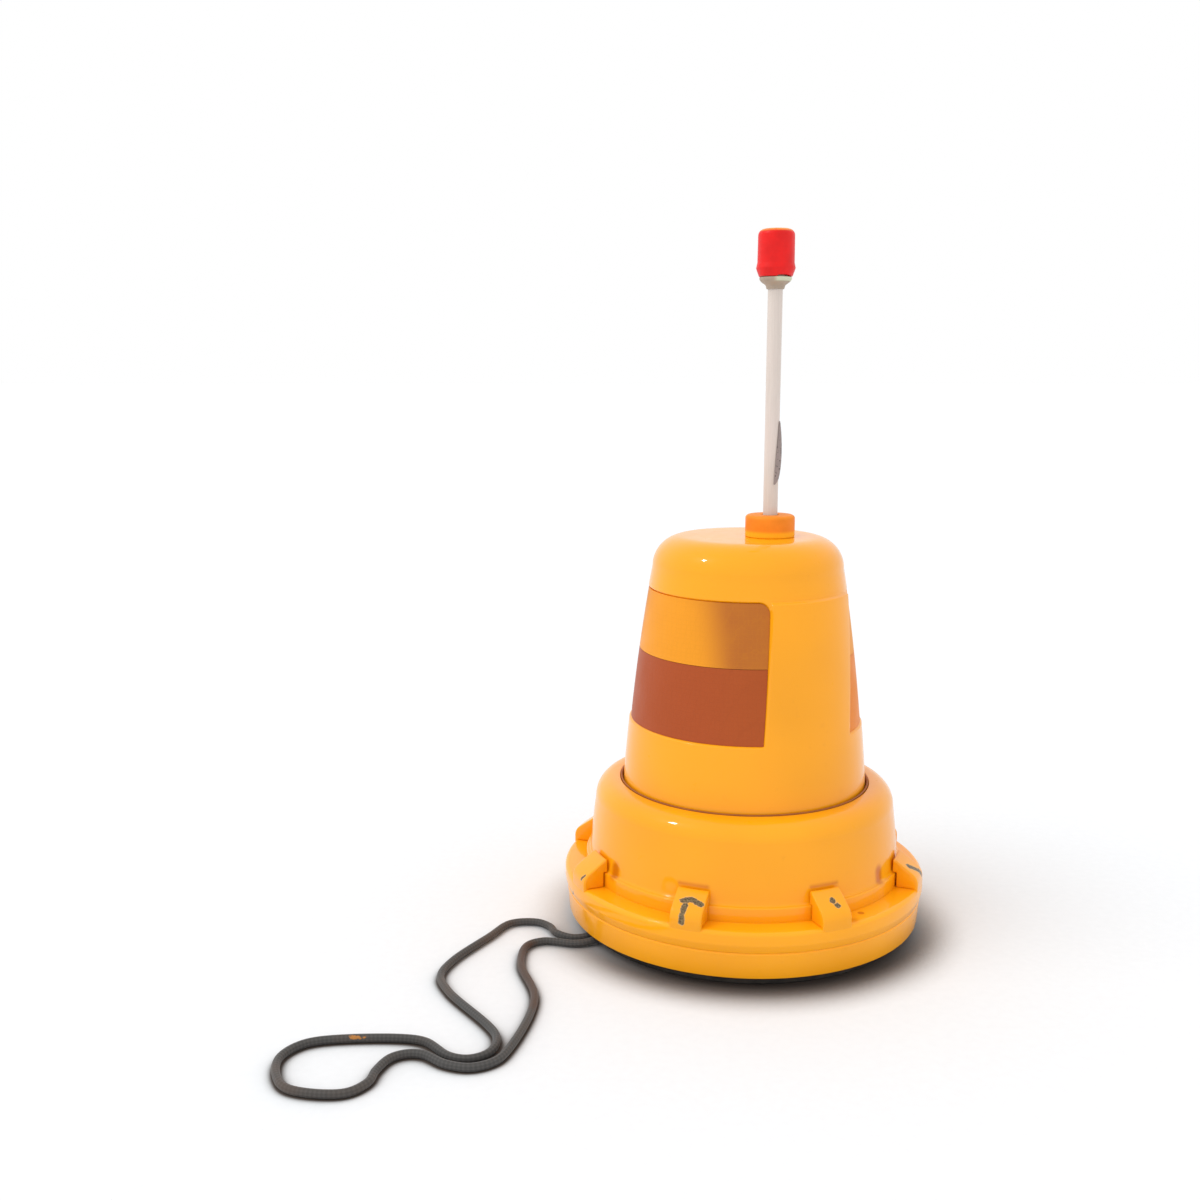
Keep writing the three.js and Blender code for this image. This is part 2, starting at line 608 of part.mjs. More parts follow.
const labelZ = collarTopZ + 21;
const labelSleeve = turned([
  [mastRadius + gap, labelZ], [mastRadius + gap + 0.6, labelZ],
  [mastRadius + gap + 0.6, labelZ + labelHeight], [mastRadius + gap, labelZ + labelHeight],
], smallSides);
const labelSide = new THREE.BoxGeometry(20, 20, labelHeight * 2).translate(11.5, 0, labelZ)
  .rotateZ(THREE.MathUtils.degToRad(-12));
add('mast_label', shared(labelSleeve, labelSide), labelFinish, mast);

// The ferrule is fixed on the mast's top; the cap pushes onto its neck.
const ferruleZ = mastTopZ - 16;
const ferruleRimZ = ferruleZ + ferruleHeight;
const neckRadius = capRadius - capWall;
const neckTopZ = mastTopZ + 14;
add('mast_ferrule', turned([
  [mastRadius + gap, ferruleZ], [mastRadius + 0.9, ferruleZ], [mastRadius + 1.6, ferruleZ + 2.5],
  [capRadius - 2.6, ferruleRimZ - 3], [capRadius - 1.6, ferruleRimZ - 1.5], [capRadius - 1.6, ferruleRimZ],
  [neckRadius, ferruleRimZ], [neckRadius, neckTopZ - 1], [neckRadius - 1, neckTopZ], [0, neckTopZ],
  [0, mastTopZ + gap], [mastRadius + gap, mastTopZ + gap],
], smallSides), ferruleFinish, mast);

const capZ = ferruleRimZ + gap;
const capTopZ = capZ + capHeight;
add('mast_cap', turned([
  [neckRadius + gap, capZ], [capRadius - 1.2, capZ], [capRadius + 0.8, capZ + 5.5], [capRadius, capZ + 9],
  [capRadius - 0.1, capTopZ - 4], ...round(capRadius - 4.1, capTopZ - 4, 4, 20, 90, 3), [0, capTopZ],
  [0, neckTopZ + gap], [neckRadius + gap, neckTopZ + gap],
], smallSides), red, mast);

// ---------- tether cord: both ends sit in the cleat, the rest lies on the ground ----------
const onGround = 2.6;
const cordRoute = [
  [-98.3, -44.3, 4.6], [-113.5, -52, 3.2], [-122.5, -52, onGround], [-133.5, -44.5, onGround],
  [-138.5, -34, onGround], [-148, -26.5, onGround], [-166, -28.5, onGround], [-180, -51, onGround],
  [-202, -90, onGround], [-206.5, -110, onGround], [-199, -131, onGround], [-164.5, -186.5, onGround],
  [-165.5, -203, onGround], [-171, -210, onGround], [-179.5, -213, onGround], [-189.5, -210, onGround],
  [-205.5, -193.5, onGround], [-221, -189.5, onGround], [-268, -192.5, onGround], [-279.5, -199, onGround],
  [-286.5, -212, onGround], [-283.5, -231, onGround], [-273.5, -244.5, onGround], [-242.5, -248.5, onGround],
  [-231.5, -238, onGround], [-229, -225.5, onGround], [-223, -212, onGround], [-214, -207, onGround],
  [-204.5, -208, onGround], [-190.5, -218.5, onGround], [-176, -222, onGround], [-163, -215.5, onGround],
  [-156, -202, onGround], [-144, -140, onGround], [-155.5, -91.5, onGround], [-152.5, -64.5, onGround],
  [-141.5, -57.5, onGround], [-121, -61.5, onGround], [-113, -61, 3.2], [-94.6, -51.9, 4.6],
];
const cordPath = new THREE.CatmullRomCurve3(cordRoute.map((point) => new THREE.Vector3(...point)));
const cordSection = new THREE.Shape(Array.from({ length: 8 }, (_, i) => {
  const angle = ((i + 0.5) * full) / 8;
  return new THREE.Vector2(cordRadius * Math.cos(angle), cordRadius * Math.sin(angle));
}));
add('tether_cord', new THREE.ExtrudeGeometry(cordSection, {
  steps: 80, bevelEnabled: false, extrudePath: cordPath,
}), cordFinish);

export default marker;
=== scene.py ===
import math

import bmesh
import bpy
import mathutils
import numpy as np
from bpy.props import FloatProperty, FloatVectorProperty, IntProperty, PointerProperty
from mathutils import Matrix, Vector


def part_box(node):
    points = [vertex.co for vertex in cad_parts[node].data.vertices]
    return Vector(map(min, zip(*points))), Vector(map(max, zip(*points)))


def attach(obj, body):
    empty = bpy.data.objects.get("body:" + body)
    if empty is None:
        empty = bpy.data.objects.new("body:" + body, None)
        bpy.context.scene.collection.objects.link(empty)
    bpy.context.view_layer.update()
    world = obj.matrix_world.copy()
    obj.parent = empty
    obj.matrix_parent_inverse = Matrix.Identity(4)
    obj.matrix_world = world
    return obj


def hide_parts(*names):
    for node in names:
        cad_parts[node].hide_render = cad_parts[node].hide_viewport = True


bl_info = {
    "name": "Barrier marker",
    "version": (1, 0, 0),
    "blender": (4, 5, 0),
    "location": "View3D > Sidebar > Marker",
    "description": "Fine surfaces and finishes for a free-standing traffic barrier marker",
    "category": "Add Mesh",
}

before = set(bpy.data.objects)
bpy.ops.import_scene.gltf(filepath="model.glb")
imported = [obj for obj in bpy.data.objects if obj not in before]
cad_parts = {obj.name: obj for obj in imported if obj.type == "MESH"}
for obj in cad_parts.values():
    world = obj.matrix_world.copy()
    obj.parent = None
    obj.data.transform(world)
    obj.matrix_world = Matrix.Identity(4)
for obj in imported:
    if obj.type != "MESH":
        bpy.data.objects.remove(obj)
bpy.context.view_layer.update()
MM = 0.001
GAP = 0.3 * MM          # play between pieces that move or slip into each other
HAIR = 0.05 * MM        # least distance between faces that would otherwise coincide


# ---------- the frame's own levels and radii ----------
def span(node):
    """Radius, lowest and highest level of a CAD node that is round about an upright axis."""
    low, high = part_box(node)
    return (high.x - low.x) / 2, low.z, high.z


def middle(node):
    """The x and y of a CAD node's centre."""
    low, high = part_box(node)
    return (high.x + low.x) / 2, (high.y + low.y) / 2


# ---------- colours ----------
def linear(hex_colour):
    """An sRGB hex value as linear red, green, blue and alpha."""
    channels = [int(hex_colour[i:i + 2], 16) / 255 for i in (1, 3, 5)]
    return tuple(c / 12.92 if c <= 0.04045 else ((c + 0.055) / 1.055) ** 2.4 for c in channels) + (1,)


def colour_property(name, description, hex_colour):
    """A colour that a user can change, from an sRGB hex value."""
    return FloatVectorProperty(name=name, description=description, size=4, subtype="COLOR",
                               min=0, max=1, default=linear(hex_colour))


def length_property(name, description, default):
    """A length in metres that a user can change."""
    return FloatProperty(name=name, description=description, default=default, unit="LENGTH", precision=4)


# ---------- sizes and colours that a user would change ----------
class RingSizes(bpy.types.PropertyGroup):
    """Base ring."""
    taper: length_property("Taper", "How much the ring draws in to its lower edge", 3 * MM)
    edge_round: length_property("Edge round", "Round on the ring's upper outer edge", 3 * MM)
    wall: length_property("Wall", "Skirt wall at the lower edge", 3 * MM)
    groove_share: FloatProperty(name="Groove height", description="Groove's share of the ring's height",
                                default=0.55, min=0.1, max=0.9)
    groove_depth: length_property("Groove depth", "Depth of the fine groove round the ring", 0.7 * MM)
    groove_width: length_property("Groove width", "Width of the fine groove round the ring", 1.8 * MM)
    ledge: length_property("Ledge", "Width of the flat ledge that the lugs stand on", 30 * MM)
    ledge_thickness: length_property("Ledge thickness", "Thickness of the ledge", 6 * MM)


class BellSizes(bpy.types.PropertyGroup):
    """Bell housing and the seal in its mouth."""
    flange_height: length_property("Flange height", "Height of the flange band", 8.4 * MM)
    flange_step: length_property("Flange step", "Bell wall behind the flange's rim", 2.5 * MM)
    flange_round: length_property("Flange round", "Round on the flange's upper edge", 1.2 * MM)
    toe_round: length_property("Toe round", "Hollow round between the flange and the wall", 1.6 * MM)
    bow: length_property("Bow", "How far the wall bows out halfway up", 0.25 * MM)
    taper: length_property("Taper", "How much the wall draws in up to the shoulder", 4.3 * MM)
    shoulder: length_property("Shoulder", "Round between the wall and the rim", 13.9 * MM)
    wall: length_property("Wall", "Thickness of the bell's wall", 3.7 * MM)
    foot_width: length_property("Foot width", "Width of the face that rests on the ring", 12.5 * MM)
    rim: length_property("Rim", "From the top of the rim in to the mouth", 5.3 * MM)
    rim_roll: length_property("Rim roll", "Round on the rim's inner edge", 1.0 * MM)
    shelf_depth: length_property("Shelf depth", "From the top of the rim down to the inner shelf", 11.5 * MM)
    shelf_width: length_property("Shelf width", "How far the shelf under the cone reaches inwards", 11 * MM)
    shelf_thickness: length_property("Shelf thickness", "Thickness of the inner shelf", 3.5 * MM)
    rim_thickness: length_property("Rim thickness", "Thickness of the bell's top at the rim", 5.5 * MM)
    lip: length_property("Lip", "Thin lip that hides the gasket outside the flange", 0.4 * MM)
    seam: length_property("Seam", "Open ring between the cone and the bell's mouth", 1.6 * MM)
    seal_play: length_property("Seal play", "Between the seal and the walls beside it", 0.08 * MM)


class LugSizes(bpy.types.PropertyGroup):
    """Clamp lugs."""
    count: IntProperty(name="Lugs", description="Number of lugs, as in the frame", default=8, min=1)
    width: length_property("Width", "Width of one lug", 21.5 * MM)
    face: length_property("Face", "Upright part of the outer face above the ledge", 3.4 * MM)
    corner: length_property("Corner", "Round between the outer face and the slope above it", 9 * MM)
    slope: FloatProperty(name="Slope", description="How far the slope above the corner leans in from upright",
                         default=math.radians(52), subtype="ANGLE")
    bevel: length_property("Bevel", "Small round on every other edge", 2.0 * MM)
    skirt: length_property("Skirt", "How far the outer face reaches down over the ring's edge", 7 * MM)


class ConeSizes(bpy.types.PropertyGroup):
    """Cone cover and the panels in its pockets."""
    taper: length_property("Taper", "How much the wall draws in up to the dome", 20.1 * MM)
    bulge: FloatProperty(name="Bulge", default=0.47, min=0, max=1,
                         description="Share of the taper that grows with the square of the height")
    dome: length_property("Dome", "Round between the wall and the flat top", 21.5 * MM)
    wall: length_property("Wall", "Thickness of the cover", 6 * MM)
    pocket_depth_low: length_property("Depth below", "Pocket depth at its lower edge", 2.8 * MM)
    pocket_depth_high: length_property("Depth above", "Pocket depth at its upper edge", 2.0 * MM)
    pocket_corner: length_property("Corner", "Round of the pockets' upper corners", 7.5 * MM)
    pocket_wall: length_property("Pocket wall", "Width over which a pocket's side wall drops", 2.2 * MM)
    pillar_width: length_property("Pillar", "Width of the plain pillar between the pockets", 71 * MM)
    pillar_lean: FloatProperty(name="Pillar lean", default=0.11,
                               description="Sideways drift of a pillar's edges per height")
    pillar_proud: length_property("Pillar proud", "How far the pillar stands out at its top", 2.2 * MM)
    pillar_turn: FloatProperty(name="Pillar turn", description="Direction of one pillar from -Y towards +X",
                               default=math.radians(32.5), subtype="ANGLE")
    panel: length_property("Panel", "Thickness of a reflector panel", 1.3 * MM)
    socket_hole: length_property("Socket hole", "Radius of the hole in the top for the socket", 9.9 * MM)


class MastSizes(bpy.types.PropertyGroup):
    """Mast and its fittings."""
    cap_flare: length_property("Cap flare", "How far the cap's skirt stands out", 0.8 * MM)
    cap_round: length_property("Cap round", "Round at the cap's top", 4.4 * MM)
    cap_lift: length_property("Cap lift", "How far the cap's lower edge rises at its notch", 0.9 * MM)
    collar_round: length_property("Collar round", "Round at the collar's top", 2.5 * MM)
    collar_wall: length_property("Collar wall", "Wall of the collar's skirt", 3.2 * MM)
    collar_roof: length_property("Collar roof", "Thickness of the collar round the mast", 3 * MM)
    cap_wall: length_property("Cap wall", "Wall of the cap above its skirt", 4.2 * MM)
    ferrule_shelf: length_property("Ferrule shelf", "Width of the shelf that the cap rests on", 2.9 * MM)
    label_bulge: length_property("Label bulge", "How far the label's middle stands off the mast", 1.1 * MM)
    label_sheet: length_property("Label sheet", "Thickness of the label", 0.5 * MM)


class CordSizes(bpy.types.PropertyGroup):
    """Tether cord."""
    diameter: length_property("Diameter", "Diameter of the braided cord", 5 * MM)
    length: length_property("Length", "Length of the whole cord", 0.818)
    pitch: length_property("Pitch", "Distance between strand crossings along the cord", 5 * MM)


class Colours(bpy.types.PropertyGroup):
    """Colours of the finishes."""
    orange: colour_property("Orange", "Powder coat of the ring, lugs, bell and cone", "#F6A20C")
    collar: colour_property("Collar", "Collar round the mast's foot", "#F58D1C")
    amber: colour_property("Amber", "Upper reflector panels", "#EC9826")
    deep_amber: colour_property("Deep amber", "Lower right reflector panel", "#E88420")
    brown: colour_property("Brown", "Lower left reflector panel", "#A94F28")
    mast: colour_property("Mast", "Glass fibre mast", "#D2C6BC")
    label: colour_property("Label", "Printed label on the mast", "#8E807C")
    ferrule: colour_property("Ferrule", "Ferrule under the cap", "#AE9B88")
    cap: colour_property("Cap", "Cap on the mast", "#E81210")
    cord: colour_property("Cord", "Braided cord", "#454341")


class StageSettings(bpy.types.PropertyGroup):
    """Floor, light and camera."""
    floor: length_property("Floor", "Width of the floor", 60)
    sky: FloatProperty(name="Sky", description="Brightness of the surrounding white", default=1.0, min=0)
    key: FloatProperty(name="Key", description="Strength of the broad key light", default=1.0, min=0)
    key_angle: FloatProperty(name="Key angle", description="How broad the key light is, seen from the object",
                             default=math.radians(40), subtype="ANGLE")
    sparkle: FloatProperty(name="Sparkle", default=9, min=0, unit="POWER",
                           description="Power of the small light that only gives the crisp highlights")
    sparkle_size: length_property("Sparkle size", "Width of the small light", 0.17)
    lens: FloatProperty(name="Lens", description="Focal length in millimetres on a 36 mm sensor", default=39)
    camera: FloatVectorProperty(name="Camera", description="Where the camera stands", size=3,
                                default=(-0.103, -0.898, 0.391375), subtype="TRANSLATION")
    tilt: FloatProperty(name="Tilt", description="How far the camera looks below level",
                        default=math.radians(10.13), subtype="ANGLE")


# ---------- surfaces worked out with numpy ----------
def arc(centre, radius, start, end, steps=12):
    """Points [r, z] on a circle: centre plus radius times the cosine and sine of evenly spaced angles."""
    angle = np.radians(np.linspace(start, end, steps + 1))
    return np.stack([centre[0] + radius * np.cos(angle), centre[1] + radius * np.sin(angle)], 1)


def filleted(corners, steps=6):
    """A closed outline of corners (r, z, round): each corner becomes the arc that touches both its sides. It
    starts and ends round / tan(half angle) from the corner and turns about a centre on the bisector."""
    rows = np.array(corners, float)
    points, rounds = rows[:, :2], np.maximum(rows[:, 2], 1e-7)
    back = np.roll(points, 1, 0) - points
    ahead = np.roll(points, -1, 0) - points
    back_length = np.linalg.norm(back, axis=1)
    ahead_length = np.linalg.norm(ahead, axis=1)
    back /= back_length[:, None]
    ahead /= ahead_length[:, None]
    half = 0.5 * np.arccos(np.clip((back * ahead).sum(1), -1 + 1e-9, 1))
    reach = np.minimum(rounds / np.tan(half), 0.49 * np.minimum(back_length, ahead_length))
    rounds = reach * np.tan(half)
    bisector = back + ahead
    bisector /= np.maximum(np.linalg.norm(bisector, axis=1), 1e-12)[:, None]
    centre = points + bisector * (rounds / np.sin(half))[:, None]
    first = points + back * reach[:, None] - centre
    last = points + ahead * reach[:, None] - centre
    sweep = (np.pi - 2 * half)[:, None, None]
    t = np.linspace(0, 1, steps + 1)[None, :, None]
    share = np.sin(np.maximum(sweep, 1e-6))
    arcs = (np.sin((1 - t) * sweep) * first[:, None] + np.sin(t * sweep) * last[:, None]) / share
    return (centre[:, None] + arcs).reshape(-1, 2)


def turned(outline, sides=192, axis=(0, 0)):
    """A grid turned about an upright axis: x = r sin(turn), y = -r cos(turn), z as in the outline."""
    turn = np.linspace(0, 2 * np.pi, sides, endpoint=False)
    r, z = outline[:, 0, None], outline[:, 1, None]
    return np.stack([axis[0] + r * np.sin(turn), axis[1] - r * np.cos(turn), z + 0 * turn], 2)


def smooth(value):
    """Zero below 0, one above 1, and the smooth step 3v^2 - 2v^3 between."""
    v = np.clip(value, 0, 1)
    return v * v * (3 - 2 * v)


def grid_quads(rows, columns, wrap_rows, wrap_columns):
    """Corner numbers of every square in a grid, and which row and column step each corner is on."""
    row, column = np.meshgrid(np.arange(rows - (not wrap_rows)), np.arange(columns - (not wrap_columns)),
                              indexing="ij")
    row, column = row.ravel(), column.ravel()
    steps_row = np.stack([row, row, row + 1, row + 1], 1)
    steps_column = np.stack([column, column + 1, column + 1, column], 1)
    corners = (steps_row % rows) * columns + steps_column % columns
    return corners, steps_row, steps_column


def make_mesh(name, grids, uv_scale=None):
    """One closed mesh from grids of points, each (points, wrap rows, wrap columns, cap ends).
    uv_scale gives metres for each row step and column step of the first grid's UV map."""
    points, faces, caps, uvs = [], [], [], []
    start = 0
    for grid, wrap_rows, wrap_columns, cap_ends in grids:
        rows, columns = grid.shape[:2]
        corners, steps_row, steps_column = grid_quads(rows, columns, wrap_rows, wrap_columns)
        faces.append(corners + start)
        uvs.append(np.stack([steps_row, steps_column], 2))
        if cap_ends:
            caps += [list(range(start, start + columns)),
                     list(range(start + (rows - 1) * columns, start + rows * columns))]
        points.append(grid.reshape(-1, 3))
        start += rows * columns
    mesh = bpy.data.meshes.new(name)
    quads = np.concatenate(faces)
    mesh.from_pydata(np.concatenate(points).tolist(), [], quads.tolist() + caps)
    if uv_scale is not None:
        layer = mesh.uv_layers.new(name="Lay")
        flat = np.zeros((len(mesh.loops), 2))
        flat[:quads.size] = np.concatenate(uvs).reshape(-1, 2) * np.array(uv_scale)
        layer.data.foreach_set("uv", flat.ravel())
    weld(mesh)
    return mesh


def weld(mesh, distance=2e-6):
    """Merges doubled points, so that seams and poles are closed, and turns the faces outwards."""
    work = bmesh.new()
    work.from_mesh(mesh)
    bmesh.ops.remove_doubles(work, verts=work.verts, dist=distance)
    bmesh.ops.dissolve_degenerate(work, edges=work.edges, dist=distance)
    bmesh.ops.recalc_face_normals(work, faces=work.faces)
    work.to_mesh(mesh)
    work.free()


def add_piece(name, mesh, finish, body, nodes, sharp=30):
    """A finished piece: its mesh shaded smooth but for sharp edges, its finish, its body and the nodes
    that it stands for."""
    mesh.shade_smooth()
    mesh.set_sharp_from_angle(angle=math.radians(sharp))
    mesh.materials.append(finish)
    piece = bpy.data.objects.new(name, mesh)
    bpy.context.scene.collection.objects.link(piece)
    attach(piece, body)
    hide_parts(*nodes)
    return piece


def turned_piece(name, outline, finish, body, nodes, sides=192, axis=(0, 0), sharp=30):
    """A closed outline turned about an upright axis and made a piece."""
    mesh = make_mesh(name, [(turned(outline, sides, axis), True, True, False)])
    return add_piece(name, mesh, finish, body, nodes, sharp)


# ---------- cone's shape ----------
CONE_RADIUS, CONE_FOOT, CONE_TOP = span("cone_cover")
_, POCKET_LOW, PANEL_SPLIT = span("lower_reflector_left")
PANEL_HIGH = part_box("upper_reflector_left")[1].z
POCKET_FOOT = POCKET_LOW - GAP
POCKET_HEAD = PANEL_HIGH + 2 * GAP


def cone_radius(z, cone):
    """Cone's outer radius at a level: the foot's radius less the taper times a mix of t and t squared,
    where t runs from 0 at the foot to 1 where the dome starts."""
    t = np.clip((z - CONE_FOOT) / (CONE_TOP - cone.dome - CONE_FOOT), 0, None)
    return CONE_RADIUS - cone.taper * ((1 - cone.bulge) * t + cone.bulge * t * t)


def pocket_depth(z, cone):
    """Pocket depth at a level, in a straight line from its lower to its upper edge."""
    rise = (z - POCKET_FOOT) / (POCKET_HEAD - POCKET_FOOT)
    return cone.pocket_depth_low + (cone.pocket_depth_high - cone.pocket_depth_low) * rise


def pillar_edges(z, cone):
    """Angles from the pillar's middle to its left and right edges: the arc sine of the edge's offset over
    the radius, where both offsets drift sideways with the height above the pockets' middle."""
    level = np.clip(z, POCKET_FOOT, POCKET_HEAD)
    drift = cone.pillar_lean * (level - (POCKET_FOOT + POCKET_HEAD) / 2)
    radius = cone_radius(level, cone)
    half = cone.pillar_width / 2
    return np.arcsin((drift - half) / radius), np.arcsin((drift + half) / radius)


def polar(angle, radius, z, cone):
    """Points at an angle from the pillar's middle, at a radius and a level."""
    direction = angle + cone.pillar_turn
    return np.stack([radius * np.sin(direction), -radius * np.cos(direction), z + 0 * direction], -1)


# ---------- finishes ----------
def add_node(tree, kind, inputs=(), **settings):
    """Adds one shader node, applies its settings, and sets or links its sockets."""
    made = tree.nodes.new(kind)
    for name, value in settings.items():
        setattr(made, name, value)
    for socket, value in dict(inputs).items():
        if isinstance(value, bpy.types.NodeSocket):
            tree.links.new(value, made.inputs[socket])
        else:
            made.inputs[socket].default_value = value
    return made


def start_finish(name, **shader):
    """A new material with one Principled shader: its tree, the shader, and object-space coordinates."""
    material = bpy.data.materials.new(name)
    material.use_nodes = True
    tree = material.node_tree
    tree.nodes.clear()
    output = tree.nodes.new("ShaderNodeOutputMaterial")
    surface = add_node(tree, "ShaderNodeBsdfPrincipled", shader)
    tree.links.new(surface.outputs[0], output.inputs["Surface"])
    place = add_node(tree, "ShaderNodeTexCoord").outputs["Object"]
    return material, tree, surface, place


def per_metre(size):
    """Texture scale for a pattern of a real size."""
    return 1 / size


def noise(tree, place, size, detail=2.0, roughness=0.5):
    """Output of a noise pattern whose blobs have a real size."""
    made = add_node(tree, "ShaderNodeTexNoise", {
        "Vector": place, "Scale": per_metre(size), "Detail": detail, "Roughness": roughness})
    return made.outputs["Fac"]


def between(tree, value, low, high, start=0.0, end=1.0, smooth_ends=False):
    """A value carried from low..high to start..end and kept inside it."""
    return add_node(tree, "ShaderNodeMapRange", {
        "Value": value, "From Min": low, "From Max": high, "To Min": start, "To Max": end},
        interpolation_type="SMOOTHSTEP" if smooth_ends else "LINEAR").outputs["Result"]


def mixed(tree, share, first, second, blend="MIX"):
    """One colour over another by a share."""
    made = add_node(tree, "ShaderNodeMix", data_type="RGBA", blend_type=blend)
    for socket, value in ((0, share), (6, first), (7, second)):
        if isinstance(value, bpy.types.NodeSocket):
            tree.links.new(value, made.inputs[socket])
        else:
            made.inputs[socket].default_value = value
    return made.outputs[2]


def maths(tree, operation, *values, clamp=False):
    """Result of one sum on values or sockets."""
    return add_node(tree, "ShaderNodeMath", dict(enumerate(values)), operation=operation,
                    use_clamp=clamp).outputs[0]


def raised(tree, surface, height, depth):
    """Gives the shader a bump from a height pattern of a real depth."""
    bump = add_node(tree, "ShaderNodeBump", {"Height": height, "Distance": depth, "Strength": 1.0})
    tree.links.new(bump.outputs[0], surface.inputs["Normal"])


def shade(colour, factor):
    """A linear colour made lighter or darker."""
    return tuple(min(1.0, channel * factor) for channel in colour[:3]) + (1,)


def capsule_distance(tree, place, start, end, radius):
    """Distance from a capsule's surface: the length of p - a - t(b - a), less the radius, where t is the
    clamped projection of p - a on b - a."""
    along = np.array(end) - np.array(start)
    from_start = add_node(tree, "ShaderNodeVectorMath", {0: place, 1: tuple(start)},
                          operation="SUBTRACT").outputs[0]
    dot = add_node(tree, "ShaderNodeVectorMath", {0: from_start, 1: tuple(along / max(along @ along, 1e-12))},
                   operation="DOT_PRODUCT").outputs["Value"]
    share = maths(tree, "ADD", dot, 0.0, clamp=True)
    reach = add_node(tree, "ShaderNodeVectorMath", {0: tuple(along), "Scale": share},
                     operation="SCALE").outputs[0]
    off = add_node(tree, "ShaderNodeVectorMath", {0: from_start, 1: reach}, operation="SUBTRACT").outputs[0]
    length = add_node(tree, "ShaderNodeVectorMath", {0: off}, operation="LENGTH").outputs["Value"]
    return maths(tree, "SUBTRACT", length, radius)


def powder_coat(name, colours, marks=(), shade_and_spots=(), bounce_lift=1.0):
    """Polyester powder coat on die-cast metal: glossy, with a faint orange-peel skin, chips that show the
    metal with a pale broken rim, and soft ochre patches: painted shade round the lugs, and one small dark
    spot.
    The lift factor paints the whole coat lighter, as painted light for bounced light. The eye gets a warm,
    even, slightly wet shine."""
    material, tree, surface, place = start_finish(name, **{
        "IOR": 1.5, "Specular IOR Level": 0.08, "Coat Weight": 0.62, "Coat Roughness": 0.04})
    drift = noise(tree, place, 70 * MM, 1.0)
    # painted light: the lift factor scales the coat's colour up, standing in for bounced light
    colour = mixed(tree, between(tree, drift, 0.35, 0.65), shade(colours.orange, 0.97 * bounce_lift),
                   shade(colours.orange, 1.04 * bounce_lift))
    grime = noise(tree, place, 9 * MM, 5.0, 0.65)
    colour = mixed(tree, between(tree, grime, 0.62, 0.8, 0.0, 0.18), colour, linear("#D08018"))
    # painted shade: each patch mixes the coat towards a dark ochre, softly round a capsule; one ring patch is
    # a small dark spot
    for start, end, radius, soft, strength in shade_and_spots:
        away = capsule_distance(tree, place, start, end, radius)
        colour = mixed(tree, between(tree, away, soft, -soft, 0.0, strength, smooth_ends=True), colour,
                       linear("#C46200"))
    height = noise(tree, place, 1.6 * MM, 1.0)
    rough = between(tree, grime, 0.3, 0.8, 0.27, 0.38)
    if marks:
        ragged = maths(tree, "SUBTRACT", noise(tree, place, 1.6 * MM, 3.0), 0.5)
        ragged = maths(tree, "MULTIPLY", ragged, 2.4 * MM)
        nearest = None
        for start, end, radius in marks:
            away = capsule_distance(tree, place, start, end, radius)
            nearest = away if nearest is None else maths(tree, "MINIMUM", nearest, away)
        nearest = maths(tree, "ADD", nearest, ragged)
        bare = between(tree, nearest, 0.15 * MM, -0.15 * MM)
        rim = between(tree, nearest, 0.6 * MM, 0.2 * MM)
        metal = mixed(tree, between(tree, noise(tree, place, 0.9 * MM, 3.0), 0.35, 0.65),
                      linear("#3A2C1C"), linear("#8A7650"))
        colour = mixed(tree, rim, colour, linear("#D9A560"))
        colour = mixed(tree, bare, colour, metal)
        rough = maths(tree, "ADD", rough, maths(tree, "MULTIPLY", bare, 0.25))
        height = maths(tree, "SUBTRACT", height, between(tree, nearest, 0.3 * MM, -0.1 * MM, 0.0, 28.0))
    tree.links.new(colour, surface.inputs["Base Color"])
    tree.links.new(rough, surface.inputs["Roughness"])
    raised(tree, surface, height, 0.006 * MM)
    return material


def moulded_polypropylene(colours, light_low, light_high):
    """Moulded polypropylene: dull and slightly waxy, with a brighter, yellower lower edge and a soft cloud of
    deeper colour on one side."""
    material, tree, surface, place = start_finish("moulded_polypropylene", **{
        "IOR": 1.49, "Specular IOR Level": 0.25})
    level = add_node(tree, "ShaderNodeSeparateXYZ", {"Vector": place}).outputs["Z"]
    cloud = noise(tree, place, 14 * MM, 3.0)
    colour = mixed(tree, between(tree, cloud, 0.35, 0.65), colours.collar, shade(colours.collar, 0.88))
    colour = mixed(tree, between(tree, level, light_high, light_low, smooth_ends=True), colour,
                   linear("#FFB81C"))
    tree.links.new(colour, surface.inputs["Base Color"])
    tree.links.new(between(tree, cloud, 0.3, 0.7, 0.48, 0.62), surface.inputs["Roughness"])
    raised(tree, surface, noise(tree, place, 0.9 * MM, 3.0), 0.03 * MM)
    return material


